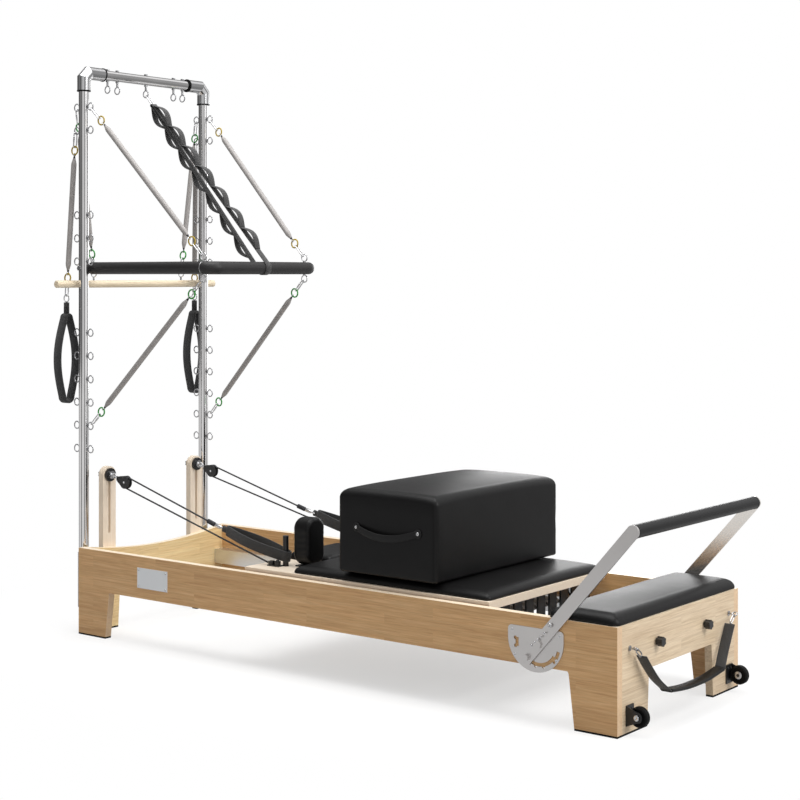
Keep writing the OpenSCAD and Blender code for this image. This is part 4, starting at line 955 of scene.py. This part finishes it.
FOOT_LOOP_L = 330
FOOT_NECK = 54
FOOT_LOOP_TOP = STRAP_RING_Z - EYE_R - FOOT_NECK
SEAM_HALF = 10
SEAM_LOW = 10
SEAM_HIGH = 34
SEAM_OUT = 4.6
SEAM_CORNERS = [(-SEAM_HALF, SEAM_LOW), (SEAM_HALF, SEAM_LOW), (SEAM_HALF, SEAM_HIGH),
                (-SEAM_HALF, SEAM_HIGH)]
SEAM_LINES = [(0, 1), (1, 2), (2, 3), (3, 0), (0, 2), (1, 3)]
for s in SIDES:
    y = s * STRAP_Y
    body = "strap_" + NAMES[s]
    loop = loop_points(FOOT_LOOP_L, r1=12, r2=20, bulge=28, steps=18)
    path = [place(STRAP_X, y + b, FOOT_LOOP_TOP + 6 - a) for a, b in loop]
    strap = band(path, AXIS_X, width=0.040, thickness=0.009, closed=True, bulge=0.25, rounding=5)
    put(join_parts("foot_loop_" + NAMES[s], [strap], web_soft), body, "webbing_black",
        "foot_strap_" + NAMES[s])
    path = [place(STRAP_X, y, FOOT_LOOP_TOP - 4 + (FOOT_NECK + 2) * i / 8) for i in range(9)]
    neck = band(path, AXIS_X, width=0.027, thickness=0.009, rounding=4)
    put_parts("foot_neck_" + NAMES[s], [neck], web, body, "webbing_black")
    seam = []
    for e in (-1, 1):
        corners = [place(STRAP_X + a, y + e * SEAM_OUT, FOOT_LOOP_TOP + b) for a, b in SEAM_CORNERS]
        seam += [tube([corners[i], corners[j]], 0.0006, 6) for i, j in SEAM_LINES]
    put_parts("foot_stitches_" + NAMES[s], seam, rubber, body, "rubber_black")
    foot_ring = ring(place(STRAP_X, y, STRAP_RING_Z), AXIS_Y, EYE_R / 1000, WIRE / 1000)
    put_parts("foot_ring_" + NAMES[s], [foot_ring], chrome, body, "chrome")


# Ladder strap from the top tube to the push bar

top_eye = place(POST_X, 0, TOWER_H - 54)
bar_middle = place(POST_X + BAR_REACH, 0, BAR_H)
strap_l = (bar_middle - top_eye).length * 1000
strap_m = along(top_eye, bar_middle)
STRAP_START = EYE_R - HOOK_GAP + SNAP_L - HOOK_GAP
BAND_T = 3.0
BAND_W = 0.028
MOUTH = 3.2
WRAP_R = 23.3
LOOPS = 7
BULGE = 24.0
LOOP_START = STRAP_START + 12
LOOP_L = (strap_l - WRAP_R - 50 - LOOP_START) / LOOPS


def spread(z):
    """Half the gap between the strap's two runs at the length z."""
    return MOUTH + (WRAP_R - MOUTH) * (z - STRAP_START) / (strap_l - STRAP_START)


def on_strap(x, z):
    return strap_m @ Vector((x / 1000, 0, z / 1000))


wide = strap_m.to_3x3() @ AXIS_Y
levels = [STRAP_START + (strap_l - STRAP_START) * i / 40 for i in range(41)]
path = [on_strap(-(spread(z) + BAND_T / 2), z) for z in levels]
for i in range(1, 20):
    a = math.pi * i / 20
    r = WRAP_R + BAND_T / 2
    path.append(on_strap(-r * math.cos(a), strap_l + r * math.sin(a)))
path += [on_strap(spread(z) + BAND_T / 2, z) for z in reversed(levels)]
path.append(on_strap(0, STRAP_START - BAND_T / 2))
straps = [band(path, wide, BAND_W, BAND_T / 1000, closed=True, rounding=4)]
for side in (-1, 1):
    for j in range(LOOPS):
        path = []
        for i in range(25):
            t = i / 24
            z = LOOP_START + j * LOOP_L + LOOP_L * t
            path.append(on_strap(side * (spread(z) + 1 + BAND_T / 2 + BULGE * math.sin(math.pi * t)), z))
        straps.append(band(path, wide, BAND_W, BAND_T / 1000, rounding=4))
o = join_parts("ladder_strap", straps, web)
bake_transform(o)
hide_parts("loop_strap")
o = join_parts("ladder_hook", snap_hook(strap_m, EYE_R - HOOK_GAP, SNAP_L, SNAP_R), chrome)
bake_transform(o)


# Silver rings on the push bar, gaskets on the elbows

ELBOW_DROP = 67
ELBOW_RUN = 92
GASKET_GAP = 2
GASKET = [(0.0248, -0.0025), (0.0259, -0.0022), (0.0260, 0.0022), (0.0248, 0.0025)]
rings = [ring(place(POST_X + BAR_REACH - 40, s * BAR_Y, BAR_H), AXIS_X, 0.0232, 0.0009, 48, 8)
         for s in SIDES]
put_parts("bar_rings", rings, chrome, "push_bar", "chrome")

gaskets = []
for s in SIDES:
    gaskets.append(lathe(GASKET, moved(POST_X, s * POST_Y, TOWER_H - ELBOW_DROP - GASKET_GAP), 40))
    sideways = moved(POST_X, s * (POST_Y - ELBOW_RUN - GASKET_GAP), TOWER_H)
    gaskets.append(lathe(GASKET, sideways @ Matrix.Rotation(math.pi / 2, 4, "X"), 40))
put_parts("elbow_gaskets", gaskets, rubber, "frame", "rubber_black")


# Carry strap with its padded grip

LINK_Z = 249.0
LINK_OUT = 22
CARRY_X = FRAME_END + LINK_OUT
CARRY_TOP = LINK_Z - 26
CARRY_LOW = CARRY_TOP - 120
# half of the strap's listed route: to the side, height and outward
CARRY_HALF = [(283, CARRY_TOP, 0), (256, CARRY_TOP - 34, 3), (218, CARRY_TOP - 78, 9),
              (180, CARRY_LOW + 9, 19), (170, CARRY_LOW + 2, 20), (110, CARRY_LOW - 5, 21),
              (55, CARRY_LOW - 9, 22)]
GRIP_FROM = 4
path = [place(CARRY_X + out, -y, z) for y, z, out in CARRY_HALF]
path.append(place(CARRY_X + LINK_OUT, 0, CARRY_LOW - 10))
path += [place(CARRY_X + out, y, z) for y, z, out in reversed(CARRY_HALF)]
strap = band(smooth_path(path, 6), AXIS_X, width=0.036, thickness=0.004, rounding=4)
put(join_parts("carry_webbing", [strap], web), "frame", "webbing_black", "carry_strap")
grip = band(smooth_path(path[GRIP_FROM:-GRIP_FROM], 8), AXIS_X, width=0.040, thickness=0.009,
            bulge=0.35, rounding=6)
put_parts("carry_grip", [grip], leather_black, "frame", "leather_black")


# Screws, bolts and small fasteners

QUADRANT_SCREWS = [(790, 270), (957, 270), (800, 196), (946, 196)]
ARM_SCREWS = [(866.8, 233.4), (878.3, 244.6), (888.4, 253), (899, 263.5), (912, 276)]
ARM_BOLT_X = 930
ARM_BOLT_Z = 301
ARM_FACE = 401.3
PLATE_X = -FRAME_END + 392
PLATE_Z = 244
PLATE_SCREW_X = 68.5
PLATE_SCREW_Z = 28.5
POST_BOLT_Y = 35
POST_BOLT_ZS = (110, 190, 265)
WHEEL_X = 1187
WHEEL_Y = 321
WHEEL_Z = 56
WHEEL_HALF = 11.3
WHEEL_BOLT_Y = 342.4
FLANGE_BOLT_YS = (308, 326)
FLANGE_BOLT_ZS = (40, 74)
CAP = [(0.0202, -0.0015), (0.0206, -0.0010), (0.0206, 0.0), (0.0198, 0.0)]
HUB = [(0.0125, -0.0006), (0.0120, 0.0006), (0.0060, 0.0008), (0.0052, 0.0008)]


def screw(x, y, z, axis, r, head=(0.0006, 0.0016, 0.0019, 0.0009), shoulder=0.8):
    """Screw head with a small socket. head gives the heights of its edge, shoulder, top and socket."""
    edge, side, top, socket = head
    profile = [(r, -0.0005), (r, edge), (r * shoulder, side), (r * 0.4, top), (r * 0.36, socket),
               (r * 0.05, socket)]
    c = place(x, y, z)
    return lathe(profile, along(c, c + Vector(axis)), 20)


FLAT = (0.0001, 0.00025, 0.00025, 0.00005)
parts = []
for a, b in ((-1, -1), (-1, 1), (1, -1), (1, 1)):
    parts.append(screw(PLATE_X + a * PLATE_SCREW_X, -RAIL_FACE - 2.5, PLATE_Z + b * PLATE_SCREW_Z,
                       (0, -1, 0), 0.0031))
put_parts("plate_screws", parts, chrome, "frame", "chrome")

parts = []
for s in SIDES:
    for x, z in QUADRANT_SCREWS:
        parts.append(screw(x, s * (RAIL_FACE + 4), z, (0, s, 0), 0.0050, FLAT, 0.94))
put_parts("quadrant_screws", parts, chrome, "frame", "chrome")

parts = []
for s in SIDES:
    for x, z in ARM_SCREWS:
        parts.append(screw(x, s * ARM_FACE, z, (0, s, 0), 0.0036))
    parts.append(screw(ARM_BOLT_X, s * ARM_FACE, ARM_BOLT_Z, (0, s, 0), 0.007))
put_parts("arm_screws", parts, chrome, "footbar", "chrome")

parts = [screw(WHEEL_X, s * WHEEL_BOLT_Y, WHEEL_Z, (0, s, 0), 0.0085) for s in SIDES]
put_parts("wheel_bolts", parts, chrome, "frame", "chrome")

parts = []
for s in SIDES:
    for z in POST_BOLT_ZS:
        for y in (POST_Y - POST_BOLT_Y, POST_Y + POST_BOLT_Y):
            parts.append(screw(-FRAME_END - 3, s * y, z, (-1, 0, 0), 0.0050))
    for z in FLANGE_BOLT_ZS:
        for y in FLANGE_BOLT_YS:
            parts.append(screw(FRAME_END + 4, s * y, z, (1, 0, 0), 0.0042))
put_parts("bracket_bolts", parts, painted, "frame", "frame_black")

parts = [lathe(CAP, along(place(GRIP_X, s * 384, GRIP_Z), place(GRIP_X, s * 390, GRIP_Z)), 40)
         for s in SIDES]
put_parts("grip_caps", parts, plastic, "footbar", "plastic_black")

for s in SIDES:
    parts = []
    for e in (-1, 1):
        c = place(WHEEL_X, s * WHEEL_Y + e * WHEEL_HALF, WHEEL_Z)
        parts.append(lathe(HUB, along(c, c + Vector((0, e, 0))), 28))
    put_parts("wheel_hubs_" + NAMES[s], parts, steel, "transport_" + NAMES[s], "steel")


# Surroundings: brighter above and towards the foot end, plain white behind the object

BRIGHT_SIDE = (0.78, 0.40, 0.48)
LOWER_LEVEL = 0.62


def upright_bands(tree, direction):
    """Dark and bright upright bands all round the object, for its polished metal."""
    axes = node(tree, "ShaderNodeSeparateXYZ", {0: direction}).outputs
    turn = math_node(tree, "MULTIPLY", math_node(tree, "ARCTAN2", axes[1], axes[0]), 5.0)
    wave = math_node(tree, "SINE", math_node(tree, "ADD", turn, 0.5))
    return map_range(tree, wave, 0.42, 1.25, -0.85, -0.1, "SMOOTHSTEP")


def background(tree, strength):
    return node(tree, "ShaderNodeBackground", {"Color": (1, 1, 1), "Strength": strength}).outputs[0]


def shader_mix(tree, fac, a, b):
    return node(tree, "ShaderNodeMixShader", {0: fac, 1: a, 2: b}).outputs[0]


world = bpy.data.worlds.new("world")
bpy.context.scene.world = world
world.use_nodes = True
sky = world.node_tree
where = node(sky, "ShaderNodeTexCoord").outputs["Generated"]
toward = node(sky, "ShaderNodeVectorMath", {0: where, 1: BRIGHT_SIDE}, operation="DOT_PRODUCT")
level = map_range(sky, toward.outputs["Value"], 0.05, 0.88, start=-1.0)
rays = node(sky, "ShaderNodeLightPath").outputs
through_floor = math_node(sky, "MINIMUM", rays["Transparent Depth"], 1.0)
to_lower = math_node(sky, "MULTIPLY", math_node(sky, "SUBTRACT", LOWER_LEVEL, level), through_floor)
banded = math_node(sky, "MULTIPLY", math_node(sky, "ADD", level, to_lower), upright_bands(sky, where))
seen = math_node(sky, "MAXIMUM", rays["Is Camera Ray"], rays["Is Transmission Ray"])
lit = shader_mix(sky, rays["Is Glossy Ray"], background(sky, level), background(sky, banded))
feed(sky, shader_mix(sky, seen, lit, background(sky, 1.0)), sky.nodes["World Output"].inputs["Surface"])


# White floor: it takes the object's shadow near the object and turns into the backdrop further out

bpy.ops.mesh.primitive_plane_add(size=30, location=(0, 0, -0.0005))
floor = bpy.context.object
floor.name = "floor"
white, tree, shader = material("floor_white")
rays = node(tree, "ShaderNodeLightPath").outputs
tone = mix(tree, (0.45, 0.45, 0.45), (0.97, 0.97, 0.97), rays["Is Camera Ray"])
dress(tree, shader, Base_Color=tone, Roughness=0.9, Specular_IOR_Level=0.0)
away = node(tree, "ShaderNodeVectorMath", {0: coords(tree, (0.55, 1, 1))}, operation="LENGTH")
edge = map_range(tree, away.outputs["Value"], 0.5, 1.0, 0.35, 1.1, "SMOOTHSTEP")
shown = math_node(tree, "MAXIMUM", rays["Is Camera Ray"], rays["Is Glossy Ray"])
fade = math_node(tree, "MULTIPLY", edge, shown)
# the metal sees the surroundings' lower bands through it
glow = node(tree, "ShaderNodeEmission", {"Color": (1, 1, 1), "Strength": 1.0}).outputs[0]
clear = node(tree, "ShaderNodeBsdfTransparent", {"Color": (1, 1, 1)}).outputs[0]
backdrop = shader_mix(tree, rays["Is Glossy Ray"], glow, clear)
feed(tree, shader_mix(tree, fade, shader.outputs[0], backdrop),
     tree.nodes["Material Output"].inputs["Surface"])
floor.data.materials.append(white)


# Lights

def area(name, spot, target, size, power):
    lamp = bpy.data.lights.new(name, "AREA")
    lamp.shape = "SQUARE"
    lamp.size = size
    lamp.energy = power
    o = link(bpy.data.objects.new(name, lamp))
    o.location = spot
    o.rotation_euler = (Vector(target) - Vector(spot)).to_track_quat("-Z", "Y").to_euler()
    o.visible_camera = False


area("key", (5.5, 0.6, 4.4), (0, 0, 0.4), size=3.0, power=185)
area("top", (-0.3, -0.3, 6.0), (0, 0, 0.3), size=4.5, power=260)
area("sheen", (-1.75, 4.9, 1.5), (0.7, 0, 0.35), size=2.0, power=52)

bpy.context.scene.view_settings.view_transform = "Standard"
